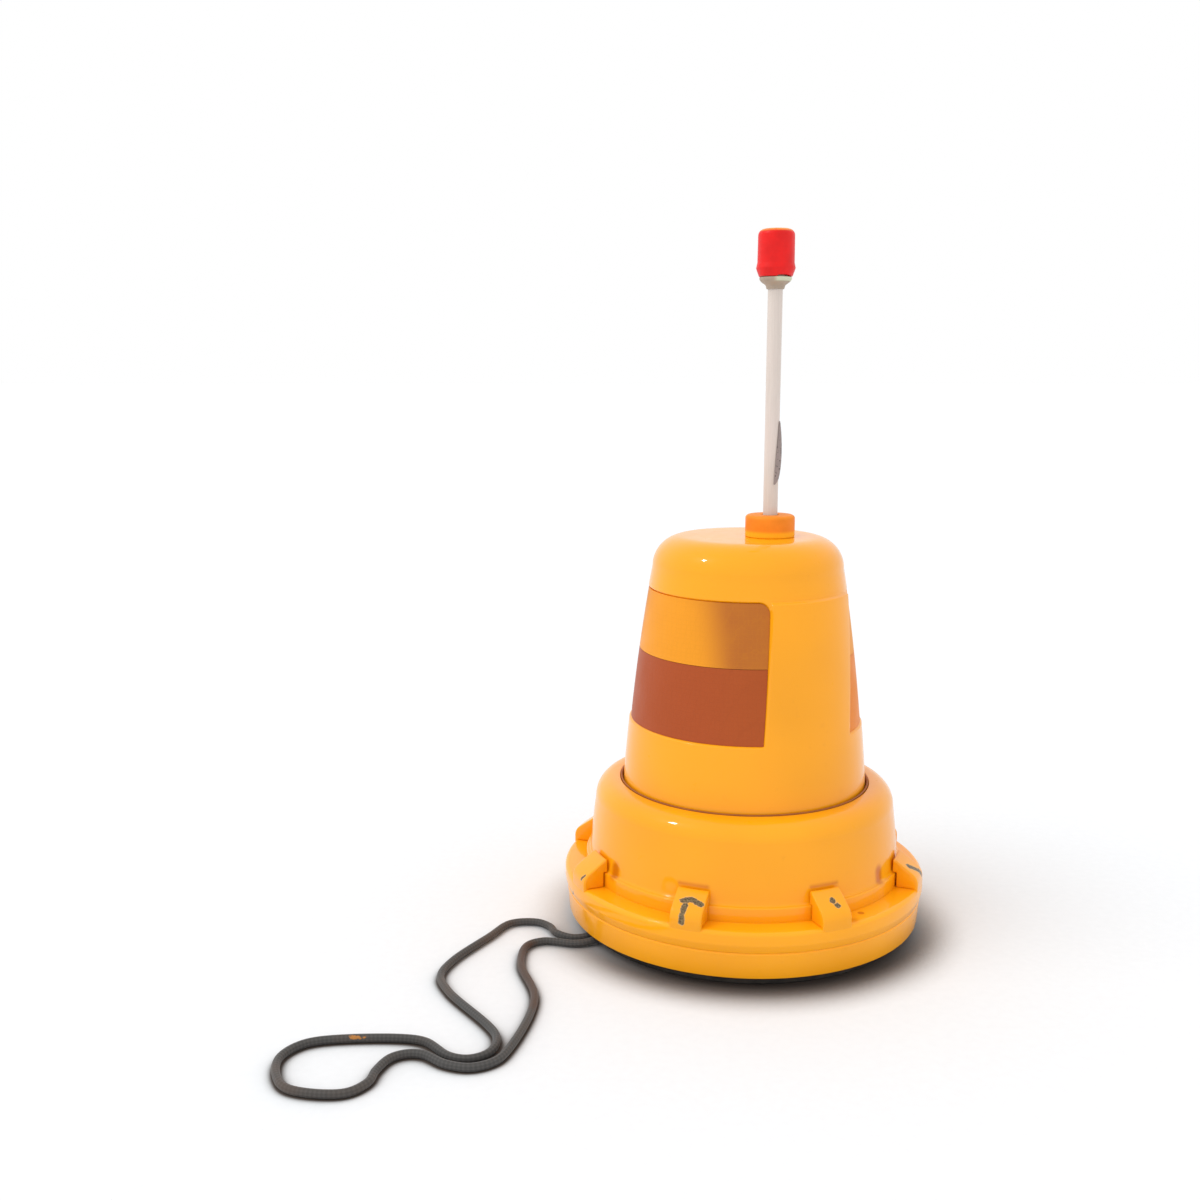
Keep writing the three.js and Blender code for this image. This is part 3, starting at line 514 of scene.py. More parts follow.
def prismatic_sheeting(name, base, pillar_turn, pillar_side_tone=None, tone_start=0.0, tone_end=0.0, share=0.0):
    """Microprismatic reflective sheeting under a clear film: hexagonal cells 3 mm across, drawn coarser
    than the real 2 mm so that they show, and, if a pillar-side tone is given, a stretch that goes over to it
    beside one pillar edge: on the amber panels this is painted shade, darkening them to brown there."""
    material, tree, surface, place = start_finish(name, **{
        "IOR": 1.5, "Specular IOR Level": 0.1, "Coat Weight": 0.05, "Coat Roughness": 0.2})
    colour = base
    # painted shade: left of the pillar the colour goes over to the pillar-side tone towards the pillar's edge
    if pillar_side_tone is not None:
        turn = add_node(tree, "ShaderNodeMapping", {
            "Vector": place, "Rotation": (0, 0, -pillar_turn)}, vector_type="POINT").outputs["Vector"]
        across = add_node(tree, "ShaderNodeSeparateXYZ", {"Vector": turn}).outputs["X"]
        tone_share = between(tree, across, tone_start, tone_end, 0.0, share, smooth_ends=True)
        tone_share = maths(tree, "MULTIPLY", tone_share, maths(tree, "LESS_THAN", across, 0.0))
        colour = mixed(tree, tone_share, base, pillar_side_tone)
    cells = add_node(tree, "ShaderNodeTexVoronoi", {
        "Vector": place, "Scale": per_metre(3 * MM), "Randomness": 0.25}, feature="DISTANCE_TO_EDGE")
    edge = between(tree, cells.outputs["Distance"], 0.02, 0.09)
    cloud = noise(tree, place, 22 * MM, 3.0)
    colour = mixed(tree, between(tree, cloud, 0.35, 0.7, 0.0, 0.16), colour, shade(base, 0.8))
    colour = mixed(tree, between(tree, edge, 0.0, 1.0, 0.12, 0.0), colour, shade(base, 0.72))
    tree.links.new(colour, surface.inputs["Base Color"])
    tree.links.new(between(tree, cloud, 0.3, 0.7, 0.36, 0.5), surface.inputs["Roughness"])
    raised(tree, surface, edge, 0.02 * MM)
    return material


def dull_moulding(name, hex_colour, bloom_colour="#5B534B", roughness=0.7):
    """Moulded rubber or glass-filled nylon: dull, with a fine mould grain and a dusty bloom, which tell the
    dark inner pieces apart from the painted metal."""
    material, tree, surface, place = start_finish(name, **{"IOR": 1.52})
    bloom = noise(tree, place, 12 * MM, 4.0)
    base = linear(hex_colour)
    colour = mixed(tree, between(tree, bloom, 0.4, 0.75, 0.0, 0.5), base, linear(bloom_colour))
    tree.links.new(colour, surface.inputs["Base Color"])
    tree.links.new(between(tree, bloom, 0.3, 0.7, roughness, roughness + 0.15), surface.inputs["Roughness"])
    raised(tree, surface, noise(tree, place, 0.7 * MM, 3.0), 0.05 * MM)
    return material


def cast_iron():
    """Sand-cast grey iron: dark, grainy and dull, with rust in the low spots."""
    material, tree, surface, place = start_finish("cast_iron", Metallic=0.85)
    grain = noise(tree, place, 1.5 * MM, 5.0, 0.6)
    rust = noise(tree, place, 24 * MM, 4.0)
    colour = mixed(tree, between(tree, grain, 0.3, 0.7), linear("#3C3B3C"), linear("#5F5C5A"))
    colour = mixed(tree, between(tree, rust, 0.55, 0.75, 0.0, 0.6), colour, linear("#6B4226"))
    tree.links.new(colour, surface.inputs["Base Color"])
    tree.links.new(between(tree, grain, 0.3, 0.7, 0.5, 0.75), surface.inputs["Roughness"])
    raised(tree, surface, grain, 0.15 * MM)
    return material


def zinc_plated_steel():
    """Turned steel with bright zinc plating: silvery, with fine tool lines round the axis and dull clouds."""
    material, tree, surface, place = start_finish("zinc_plated_steel", Metallic=1.0)
    cloud = noise(tree, place, 6 * MM, 4.0)
    lines = add_node(tree, "ShaderNodeTexWave", {
        "Vector": place, "Scale": per_metre(3 * MM), "Distortion": 1.5, "Detail": 2.0},
        wave_type="BANDS", bands_direction="Z").outputs["Fac"]
    colour = mixed(tree, between(tree, cloud, 0.35, 0.65), linear("#A9ABAE"), linear("#C9CAC8"))
    tree.links.new(colour, surface.inputs["Base Color"])
    tree.links.new(between(tree, cloud, 0.3, 0.7, 0.28, 0.45), surface.inputs["Roughness"])
    raised(tree, surface, lines, 0.01 * MM)
    return material


def sintered_bronze():
    """Oil-filled sintered bronze: brownish gold, finely pored and half dull."""
    material, tree, surface, place = start_finish("sintered_bronze", Metallic=1.0)
    pores = add_node(tree, "ShaderNodeTexVoronoi", {
        "Vector": place, "Scale": per_metre(0.8 * MM)}).outputs["Distance"]
    colour = mixed(tree, between(tree, pores, 0.2, 0.6), linear("#8A6230"), linear("#B98B4B"))
    tree.links.new(colour, surface.inputs["Base Color"])
    tree.links.new(between(tree, pores, 0.1, 0.6, 0.55, 0.35), surface.inputs["Roughness"])
    raised(tree, surface, pores, 0.03 * MM)
    return material


def natural_nylon():
    """Moulded natural nylon: milky, slightly see-through at its skin, and softly shiny."""
    material, tree, surface, place = start_finish("natural_nylon", **{
        "IOR": 1.53, "Subsurface Weight": 0.15, "Subsurface Radius": (2 * MM, 1.5 * MM, MM),
        "Subsurface Scale": 1.0})
    cloud = noise(tree, place, 18 * MM, 3.0)
    colour = mixed(tree, between(tree, cloud, 0.35, 0.65), linear("#E6E1D2"), linear("#D8D1BD"))
    tree.links.new(colour, surface.inputs["Base Color"])
    tree.links.new(between(tree, cloud, 0.3, 0.7, 0.38, 0.5), surface.inputs["Roughness"])
    raised(tree, surface, noise(tree, place, 1.1 * MM, 2.0), 0.02 * MM)
    return material


def pultruded_glass_fibre(colours):
    """Pultruded glass fibre under a clear gel coat: off-white, with fine fibre streaks along its length
    and a faint pinkish ageing."""
    material, tree, surface, place = start_finish("pultruded_glass_fibre", **{
        "IOR": 1.55, "Coat Weight": 0.2, "Coat Roughness": 0.25})
    long_streaks = add_node(tree, "ShaderNodeMapping", {
        "Vector": place, "Scale": (1.0, 1.0, 0.03)}).outputs["Vector"]
    fibre = noise(tree, long_streaks, 0.9 * MM, 3.0, 0.6)
    ageing = noise(tree, place, 40 * MM, 2.0)
    colour = mixed(tree, between(tree, fibre, 0.3, 0.7), shade(colours.mast, 0.93), shade(colours.mast, 1.05))
    colour = mixed(tree, between(tree, ageing, 0.35, 0.65, 0.0, 0.35), colour, linear("#E2CFC8"))
    tree.links.new(colour, surface.inputs["Base Color"])
    tree.links.new(between(tree, fibre, 0.3, 0.7, 0.35, 0.5), surface.inputs["Roughness"])
    raised(tree, surface, fibre, 0.03 * MM)
    return material


def printed_vinyl(colours):
    """Printed vinyl label, weathered: grey, with dark flecks where the print has worn into dots."""
    material, tree, surface, place = start_finish("printed_vinyl", **{"IOR": 1.5})
    cells = add_node(tree, "ShaderNodeTexVoronoi", {
        "Vector": place, "Scale": per_metre(1.9 * MM), "Randomness": 1.0}).outputs["Distance"]
    patch = noise(tree, place, 5 * MM, 2.0)
    fleck = maths(tree, "MULTIPLY", between(tree, cells, 0.36, 0.24), between(tree, patch, 0.38, 0.46))
    colour = mixed(tree, between(tree, patch, 0.3, 0.7), colours.label, shade(colours.label, 1.2))
    colour = mixed(tree, fleck, colour, linear("#2E2624"))
    tree.links.new(colour, surface.inputs["Base Color"])
    tree.links.new(between(tree, patch, 0.3, 0.7, 0.42, 0.6), surface.inputs["Roughness"])
    raised(tree, surface, fleck, 0.04 * MM)
    return material


def moulded_acetal(colours, rim_level, axis_x):
    """Moulded acetal ferrule: taupe and satin, with a painted highlight: paler and greenish on one side of
    the rim under the cap.
    """
    material, tree, surface, place = start_finish("moulded_acetal", **{"IOR": 1.48})
    parts = add_node(tree, "ShaderNodeSeparateXYZ", {"Vector": place})
    cloud = noise(tree, place, 6 * MM, 3.0)
    colour = mixed(tree, between(tree, cloud, 0.3, 0.7), colours.ferrule, shade(colours.ferrule, 0.85))
    # painted highlight: a paler, greenish band on the rim under the cap, on the +X side only
    above = between(tree, parts.outputs["Z"], rim_level - 3.2 * MM, rim_level - 2.2 * MM)
    below = between(tree, parts.outputs["Z"], rim_level + 0.6 * MM, rim_level + 0.1 * MM)
    lit_side = between(tree, parts.outputs["X"], axis_x - 2.5 * MM, axis_x)
    rim = maths(tree, "MULTIPLY", maths(tree, "MULTIPLY", above, lit_side), below)
    colour = mixed(tree, rim, colour, linear("#C9CDB0"))
    tree.links.new(colour, surface.inputs["Base Color"])
    tree.links.new(between(tree, cloud, 0.3, 0.7, 0.4, 0.55), surface.inputs["Roughness"])
    raised(tree, surface, noise(tree, place, 0.8 * MM, 2.0), 0.02 * MM)
    return material


def dipped_vinyl(colours, top_level):
    """Plastisol-dipped cap: saturated red with a soft satin skin, a thin orange worn rim at its top and
    faint draw lines down its side."""
    material, tree, surface, place = start_finish("dipped_vinyl", **{
        "IOR": 1.5, "Specular IOR Level": 0.2, "Coat Weight": 0.15, "Coat Roughness": 0.3})
    level = add_node(tree, "ShaderNodeSeparateXYZ", {"Vector": place}).outputs["Z"]
    draw = add_node(tree, "ShaderNodeMapping", {"Vector": place, "Scale": (1.0, 1.0, 0.08)}).outputs["Vector"]
    streak = noise(tree, draw, 2.5 * MM, 3.0)
    cloud = noise(tree, place, 9 * MM, 3.0)
    colour = mixed(tree, between(tree, cloud, 0.35, 0.65), colours.cap, shade(colours.cap, 0.86))
    worn = maths(tree, "MULTIPLY", between(tree, level, top_level - 2.2 * MM, top_level - 0.8 * MM),
                 between(tree, noise(tree, place, 4 * MM, 3.0), 0.3, 0.5, 0.55, 1.0))
    colour = mixed(tree, worn, colour, linear("#F5963C"))
    tree.links.new(colour, surface.inputs["Base Color"])
    tree.links.new(between(tree, streak, 0.3, 0.7, 0.36, 0.5), surface.inputs["Roughness"])
    raised(tree, surface, streak, 0.03 * MM)
    return material


def braided_polyester(colours, radius, pitch):
    """Braided polyester cord: dark grey yarns crossing in a diamond pattern that follows the cord's own
    UV map, brownish with dirt in places, with one browned stretch and one orange paint scuff."""
    material, tree, surface, place = start_finish("braided_polyester", **{
        "Roughness": 0.75, "IOR": 1.5, "Sheen Weight": 0.15, "Sheen Roughness": 0.5})
    lay = add_node(tree, "ShaderNodeUVMap", uv_map="Lay").outputs["UV"]
    parts = add_node(tree, "ShaderNodeSeparateXYZ", {"Vector": lay})
    along = maths(tree, "MULTIPLY", parts.outputs["X"], 2 * math.pi / pitch)
    around = maths(tree, "MULTIPLY", parts.outputs["Y"], 4 / radius)
    one_way = maths(tree, "SINE", maths(tree, "ADD", along, around))
    other_way = maths(tree, "SINE", maths(tree, "SUBTRACT", along, around))
    crossing = maths(tree, "MULTIPLY", one_way, other_way)
    yarn = noise(tree, place, 0.5 * MM, 2.0)
    height = maths(tree, "ADD", crossing, maths(tree, "MULTIPLY", yarn, 0.6))
    dirt = noise(tree, place, 38 * MM, 2.0)
    colour = mixed(tree, between(tree, crossing, -0.5, 0.7), shade(colours.cord, 0.75),
                   shade(colours.cord, 1.15))
    colour = mixed(tree, between(tree, dirt, 0.5, 0.68, 0.0, 0.4), colour, linear("#5C4636"))
    browned = capsule_distance(tree, place, *BROWNED, 9 * MM)
    colour = mixed(tree, between(tree, browned, 3 * MM, -3 * MM, 0.0, 0.75), colour, linear("#4A3020"))
    ragged = maths(tree, "MULTIPLY", noise(tree, place, 3 * MM, 4.0, 0.7), 6 * MM)
    scuff = maths(tree, "ADD", capsule_distance(tree, place, *PAINT_SCUFF, 0.0), ragged)
    colour = mixed(tree, between(tree, scuff, 4.2 * MM, 3.6 * MM, 0.0, 0.75), colour, linear("#C8812C"))
    tree.links.new(colour, surface.inputs["Base Color"])
    raised(tree, surface, height, 0.07 * MM)
    return material


def studio_floor():
    """Matt painted studio floor: almost white, with a faint roller texture and a painted contact shadow: a
    dark, soft brown where something stands on it, found by ambient occlusion and stronger at the front."""
    material, tree, surface, place = start_finish("studio_floor", **{"Roughness": 0.9, "IOR": 1.3})
    grain = noise(tree, place, 6 * MM, 2.0)
    colour = mixed(tree, between(tree, grain, 0.3, 0.7), linear("#E7E9EB"), linear("#E9EBED"))
    # painted contact shadow: where ambient occlusion within 45 mm finds something close, the floor goes to a
    # dark brown, more at the front than at the back
    near = add_node(tree, "ShaderNodeAmbientOcclusion", {"Distance": 45 * MM}, samples=16).outputs["AO"]
    shadow_side = (0.12, -1, 0)
    towards = add_node(tree, "ShaderNodeVectorMath", {0: place, 1: shadow_side}, operation="DOT_PRODUCT")
    share = maths(tree, "MULTIPLY", between(tree, near, 0.97, 0.5, 0.0, 0.95, smooth_ends=True),
                  between(tree, towards.outputs["Value"], -0.03, 0.11, 0.35, 1.0, smooth_ends=True))
    colour = mixed(tree, share, colour, linear("#43352A"))
    tree.links.new(colour, surface.inputs["Base Color"])
    return material


# ---------- camera and cord ----------
def camera_first(context):
    """The camera, with its lens and tilt."""
    stage = context.scene.marker_stage
    data = bpy.data.cameras.new("camera")
    data.sensor_width = 36
    data.lens = stage.lens
    data.clip_start = 0.01
    data.clip_end = 100
    camera = bpy.data.objects.new("camera", data)
    camera.location = stage.camera
    camera.rotation_euler = (math.pi / 2 - stage.tilt, 0, 0)
    context.scene.collection.objects.link(camera)
    context.scene.camera = camera


class MARKER_OT_camera(bpy.types.Operator):
    """Adds the camera at the chosen place and tilt."""
    bl_idname = "marker.camera"
    bl_label = "Camera"

    def execute(self, context):
        camera_first(context)
        return {"FINISHED"}


# Both ends of the browned stretch and of the paint scuff, in metres.
BROWNED = ((-0.147, -0.150, 0), (-0.152, -0.070, 0))
PAINT_SCUFF = ((-0.249, -0.191, 0.004), (-0.242, -0.191, 0.004))
# Points along the cord in millimetres. A point without a level lies on the ground.
ON_GROUND = 2.6
CORD_ROUTE = [
    (-98.3, -44.3, 4.6), (-113.5, -52, 3.2), (-122.5, -52), (-133.5, -44.5),
    (-138.5, -34), (-148, -26.5), (-166, -28.5), (-180, -51),
    (-202, -90), (-206.5, -110), (-199, -131), (-164.5, -186.5),
    (-165.5, -203), (-171, -210), (-179.5, -213), (-189.5, -210),
    (-205.5, -193.5), (-221, -189.5), (-268, -192.5), (-279.5, -199),
    (-286.5, -212), (-283.5, -231), (-273.5, -244.5), (-242.5, -248.5),
    (-231.5, -238), (-229, -225.5), (-223, -212), (-214, -207),
    (-204.5, -208), (-190.5, -218.5), (-176, -222), (-163, -215.5),
    (-156, -202), (-144, -140), (-155.5, -91.5), (-152.5, -64.5),
    (-141.5, -57.5), (-121, -61.5), (-113, -61, 3.2), (-94.6, -51.9, 4.6),
]


def smooth_route(points, per_span=24):
    """The centripetal Catmull-Rom curve through the points: each span is the cubic whose end slopes come
    from its neighbours, with steps in proportion to the square root of the distance between points."""
    route = np.vstack([2 * points[0] - points[1], points, 2 * points[-1] - points[-2]])
    a, b, c, d = route[:-3], route[1:-2], route[2:-1], route[3:]
    first, middle_step, last = (np.sqrt(np.linalg.norm(q - p, axis=1))[:, None]
                                for p, q in ((a, b), (b, c), (c, d)))
    slope_b = ((b - a) / first - (c - a) / (first + middle_step) + (c - b) / middle_step) * middle_step
    slope_c = ((c - b) / middle_step - (d - b) / (middle_step + last) + (d - c) / last) * middle_step
    t = np.linspace(0, 1, per_span, endpoint=False)[None, :, None]
    b, c, slope_b, slope_c = (v[:, None] for v in (b, c, slope_b, slope_c))
    spans = (b * (2 * t**3 - 3 * t**2 + 1) + slope_b * (t**3 - 2 * t**2 + t)
             + c * (3 * t**2 - 2 * t**3) + slope_c * (t**3 - t**2))
    return np.vstack([spans.reshape(-1, 3), points[-1]])


def even_steps(path, step):
    """The same path in steps of one length: each coordinate read off along the running length."""
    run = np.concatenate([[0], np.cumsum(np.linalg.norm(np.diff(path, axis=0), axis=1))])
    marks = np.linspace(0, run[-1], int(run[-1] / step) + 1)
    return np.stack([np.interp(marks, run, path[:, i]) for i in range(3)], 1), marks


def braided_tube(path, marks, radius, pitch, sides=20):
    """A tube whose cross-section stands square to the path: centre plus radius times the cosine along the
    side direction and the sine along the up direction, raised a little where two strands cross."""
    ahead = np.gradient(path, axis=0)
    ahead /= np.linalg.norm(ahead, axis=1)[:, None]
    side = np.cross(ahead, (0, 0, 1))
    side /= np.linalg.norm(side, axis=1)[:, None]
    up = np.cross(side, ahead)
    angle = np.linspace(0, 2 * np.pi, sides, endpoint=False)[None, :]
    along = 2 * np.pi * marks[:, None] / pitch
    relief = np.sin(along + 4 * angle) * np.sin(along - 4 * angle)
    reach = (radius * (0.99 + 0.01 * relief))[..., None]
    angle = angle[..., None]
    return path[:, None] + reach * (side[:, None] * np.cos(angle) + up[:, None] * np.sin(angle))


class MARKER_OT_cord(bpy.types.Operator):
    """Adds the tether cord: one limp doubled lanyard with both ends in the cleat under the base."""
    bl_idname = "marker.cord"
    bl_label = "Tether cord"

    def execute(self, context):
        cord = context.scene.marker_cord
        radius = cord.diameter / 2
        points = np.array([p if len(p) == 3 else (*p, ON_GROUND) for p in CORD_ROUTE]) * MM
        path, marks = even_steps(smooth_route(points), 0.5 * MM)
        sides = 20
        tube = braided_tube(path, marks, radius, cord.pitch, sides)
        mesh = make_mesh("lanyard", [(tube, False, True, True)],
                         uv_scale=(marks[1], 2 * math.pi * radius / sides))
        finish = braided_polyester(context.scene.marker_colours, radius, cord.pitch)
        piece = add_piece("lanyard", mesh, finish, "base", ["tether_cord"], sharp=60)
        return {"FINISHED"}


# ---------- base ----------
class MARKER_OT_ring(bpy.types.Operator):
    """Adds the base ring: a tapered skirt with a fine groove, a rounded upper edge and a flat ledge."""
    bl_idname = "marker.ring"
    bl_label = "Base ring"

    def execute(self, context):
        ring = context.scene.marker_ring
        radius, foot, ledge = span("base_ring")
        low = radius - ring.taper
        groove = foot + (ledge - foot) * ring.groove_share
        at_groove = low + ring.taper / 2
        inner = low - ring.wall
        ledge_end = radius - ring.ledge
        ledge_under = ledge - ring.ledge_thickness
        half_groove = ring.groove_width / 2
        outline = filleted([
            (inner, foot, 0.5 * MM),
            (low, foot, 1.2 * MM),
            (at_groove, groove - half_groove, 0.5 * MM),
            (at_groove - ring.groove_depth, groove, 0.25 * MM),
            (at_groove + 0.2 * MM, groove + half_groove, 0.5 * MM),
            (radius, ledge - 3 * ring.edge_round, 6 * MM),
            (radius, ledge, ring.edge_round),
            (ledge_end, ledge, 0.5 * MM),
            (ledge_end, ledge_under, 0.5 * MM),
            (inner, ledge_under, 2 * MM),
        ])
        # The ring's coat is painted 7 % lighter, as painted light for the bounce that the floor's painted
        # contact shadow takes away; its patches are a small dark spot and painted shadow.
        finish = powder_coat("powder_coat_ring", context.scene.marker_colours, ring_marks(radius),
                             ring_spot_and_shade(radius, ledge), bounce_lift=1.07)
        turned_piece("ring", outline, finish, "base", ["base_ring"], sides=256)
        return {"FINISHED"}


def on_ring(radius, direction, z):
    """A point on the ring's face, by its direction from -Y towards +X in degrees and its level."""
    turn = math.radians(direction)
    return np.array([radius * math.sin(turn), -radius * math.cos(turn), z])


def ring_marks(radius):
    """Small chips in the ring's coat, each a short capsule."""
    chips = [(-74, 27, -71, 33, 0.8), (-69, 12, -65.5, 11, 0.9)]
    return [(on_ring(radius - MM, a, z * MM), on_ring(radius - MM, b, y * MM), r * MM)
            for a, z, b, y, r in chips]


def ring_spot_and_shade(radius, ledge):
    """Soft ochre patches on the ledge beside a front lug, each (start, end, radius, softness, strength):
    a small dark spot, and painted shadow of the lug on the ledge to its right.
    """
    spot = on_ring(radius - 10.2 * MM, 35.2, ledge)
    patch = on_ring(radius - 4.6 * MM, 29.8, ledge)
    return [(spot, spot, 2.2 * MM, 0.6 * MM, 0.75), (patch, patch, 2.5 * MM, 2.5 * MM, 0.35)]


def bell_painted_shade(radius, ledge):
    """Painted shade on the bell's wall: a soft ochre arc over each front lug, where its top meets the wall,
    and a patch inside each side lug.
    """
    over_lugs = ledge + 21 * MM
    arcs = [(on_ring(radius, a, over_lugs), on_ring(radius, b, over_lugs), 0.8 * MM, 2.0 * MM, 0.8)
            for a, b in ((-28, -18), (18, 28))]
    patches = []
    for direction, height in ((-57.5, 16 * MM), (50.5, 18 * MM)):
        high = on_ring(radius, direction, ledge + height)
        low = on_ring(radius, direction, ledge + height - 5 * MM)
        patches.append((high, low, 4 * MM, 2.5 * MM, 0.85))
    return arcs + patches


# ---------- bell ----------
class MARKER_OT_bell(bpy.types.Operator):
    """Adds the bell housing and the thin brown seal in its mouth."""
    bl_idname = "marker.bell"
    bl_label = "Bell and seal"

    def execute(self, context):
        bell = context.scene.marker_bell
        colours = context.scene.marker_colours
        flange, foot, top = span("bell_housing")
        ledge = span("base_ring")[2]
        wall = flange - bell.flange_step
        wall_top = wall - bell.taper
        shoulder = (wall_top - bell.shoulder, top - bell.shoulder - 0.6 * MM)
        crest = shoulder[0] + 1.6 * MM
        mouth = crest - bell.rim
        shelf = top - bell.shelf_depth
        step = foot + bell.flange_height
        inside = wall_top - bell.wall
        rest = ledge + HAIR
        rows = np.linspace(0, 1, 12)[:, None]
        side_low = np.array([wall - 0.3 * MM, step + 2 * MM])
        side_high = np.array([wall_top, shoulder[1]])
        bow = np.hstack([bell.bow * np.sin(np.pi * rows), 0 * rows])
        side = side_low * (1 - rows) + side_high * rows + bow
        flange_edge = arc((flange - bell.flange_round, step - bell.flange_round), bell.flange_round, 0, 90, 5)
        toe = arc((wall + bell.toe_round - 0.2 * MM, step + bell.toe_round), bell.toe_round, 270, 190, 5)
        rim_edge = arc((mouth + bell.rim_roll, top - bell.rim_roll - HAIR), bell.rim_roll, 94, 180, 8)
        below_shelf = [
            (mouth, shelf),
            (mouth - bell.shelf_width, shelf),
            (mouth - bell.shelf_width, shelf - bell.shelf_thickness),
            (mouth + 2.5 * MM, shelf - bell.shelf_thickness),
        ]
        inner_wall = [
            (mouth + 3.5 * MM, top - bell.rim_thickness - 0.5 * MM),
            (shoulder[0] + 4 * MM, top - bell.rim_thickness),
            (inside - 1.5 * MM, shoulder[1] + 4 * MM),
            (inside, shoulder[1] - 4 * MM),
            (wall - bell.wall, step),
        ]
        foot_band = [
            (flange - bell.foot_width, step - 3 * MM),
            (flange - bell.foot_width, foot),
            (flange - bell.lip, foot),
            (flange - bell.lip, rest),
            (flange, rest),
        ]
        outline = np.vstack([flange_edge, toe, side, arc(shoulder, bell.shoulder, 4, 82, 16), rim_edge,
                             below_shelf, inner_wall, foot_band])
        # painted shade round the lugs on the bell's wall
        finish = powder_coat("powder_coat_bell", colours, shade_and_spots=bell_painted_shade(wall - MM, ledge))
        turned_piece("bell", outline, finish, "base", ["bell_housing"], sides=256)
        _, seal_low, seal_high = span("seam_seal")
        seal_radius = bell.seam / 2 - bell.seal_play
        ring = arc((mouth - bell.seam / 2, (seal_low + seal_high) / 2), seal_radius, 0, 360, 16)[:-1]
        rubber = dull_moulding("seal_rubber", "#9A5418", "#B06A24", 0.6)
        turned_piece("mouth_seal", ring, rubber, "base", ["seam_seal"], sides=192)
        return {"FINISHED"}


# ---------- clamp lugs ----------
def lug_grid(lug, outline, columns=13):
    """The outline carried across the lug's width: at each offset x the outline's radius r is kept, so that
    y = -sqrt(r^2 - x^2) and the outer face follows the ring."""
    across = np.linspace(-lug.width / 2, lug.width / 2, columns)[:, None]
    r, z = outline[None, :, 0], outline[None, :, 1]
    return np.stack([across + 0 * r, -np.sqrt(r * r - across * across), z + 0 * across], 2)


def turned_by(points, direction):
    """Points turned about the upright axis by a direction in degrees from -Y towards +X."""
    c, s = math.cos(math.radians(direction)), math.sin(math.radians(direction))
    return points @ np.array([[c, s, 0], [-s, c, 0], [0, 0, 1]])


def lug_marks(lug, radius, ledge):
    """Chips in the lugs' coat. Each is (direction of the lug, offset and level where it starts, offset and
    level where it ends, radius), with the offset across the lug and the level above the ledge."""
    chips = [
        (-22.5, -4.5, 14.3, 1, 15.4, 1.9), (-22.5, 1, 15.4, 8.3, 13.7, 1.8), (-22.5, -1.8, 12, -2.5, 3, 2.0),
        (22.5, 0.7, 14.6, 0.9, 14.4, 2.1), (22.5, 2.7, 12.2, 2.9, 12.0, 1.8),
        (67.5, -4, 14, 5, 6, 2.0), (-67.5, 5, 6, 7.5, 9, 0.9),
    ]
    marks = []
    for direction, x1, z1, x2, z2, size in chips:
        ends = np.array([[x1 * MM, -lug_face(z1 * MM, radius, lug), ledge + z1 * MM],
                         [x2 * MM, -lug_face(z2 * MM, radius, lug), ledge + z2 * MM]])
        start, end = turned_by(ends, direction)
        marks.append((start, end, size * MM))
    return marks


def lug_face(height, radius, lug):
    """The lug's outer radius at a height above the ledge: upright below its corner, then the corner's circle
    until it leans as the slope does, then the circle's tangent."""
    turn = min(lug.slope, math.asin(min(1.0, max(0.0, (height - lug.face) / lug.corner))))
    beyond = max(0.0, height - lug.face - lug.corner * math.sin(lug.slope))
    return radius - lug.corner * (1 - math.cos(turn)) - beyond * math.tan(lug.slope)


class MARKER_OT_lugs(bpy.types.Operator):
    """Adds the clamp lugs round the ledge, each a rounded block whose outer face runs down over the ring."""
    bl_idname = "marker.lugs"
    bl_label = "Clamp lugs"

    def execute(self, context):
        lug = context.scene.marker_lug
        colours = context.scene.marker_colours
        ring_radius, _, ledge = span("base_ring")
        _, _, top = span("clamp_lug_1")
        flange, bell_foot, _ = span("bell_housing")
        bell = context.scene.marker_bell
        hook = bell_foot + bell.flange_height + GAP
        outer = ring_radius + HAIR
        inner = flange + 3 * GAP
        back = flange - bell.flange_step + 2 * GAP
        skirt_foot = ledge - lug.skirt
        skirt_back = outer - 3 * MM
        underside = [
            (inner, ledge + HAIR), (skirt_back, ledge + HAIR), (skirt_back, skirt_foot),
            (outer - 0.9 * MM, skirt_foot), (outer, ledge - MM),
        ]
        corner = arc((outer - lug.corner, ledge + lug.face), lug.corner, 0, math.degrees(lug.slope), 8)
        hook_end = [(back + 2 * MM, top - 0.4 * MM), (back, top), (back, hook), (inner, hook)]
        outline = np.vstack([underside, corner, hook_end])
        finish = powder_coat("powder_coat_lug", colours, lug_marks(lug, outer, ledge))
        for i in range(lug.count):
            direction = (i + 0.5) * 360 / lug.count
            grid = turned_by(lug_grid(lug, outline), direction)
            mesh = make_mesh(f"lug_{i + 1}", [(grid, False, True, True)])
            piece = add_piece(f"lug_{i + 1}", mesh, finish, "base", [f"clamp_lug_{i + 1}"], sharp=180)
            bevel = piece.modifiers.new("Bevel", "BEVEL")
            bevel.width = lug.bevel
            bevel.segments = 4
            bevel.limit_method = "ANGLE"
            bevel.angle_limit = math.radians(38)
        return {"FINISHED"}


# ---------- cone ----------
def eased(start, end, steps):
    """Values from start to end that crowd together at both ends, as half a cosine wave does."""
    return start + (end - start) * (1 - np.cos(np.linspace(0, np.pi, steps + 1))) / 2


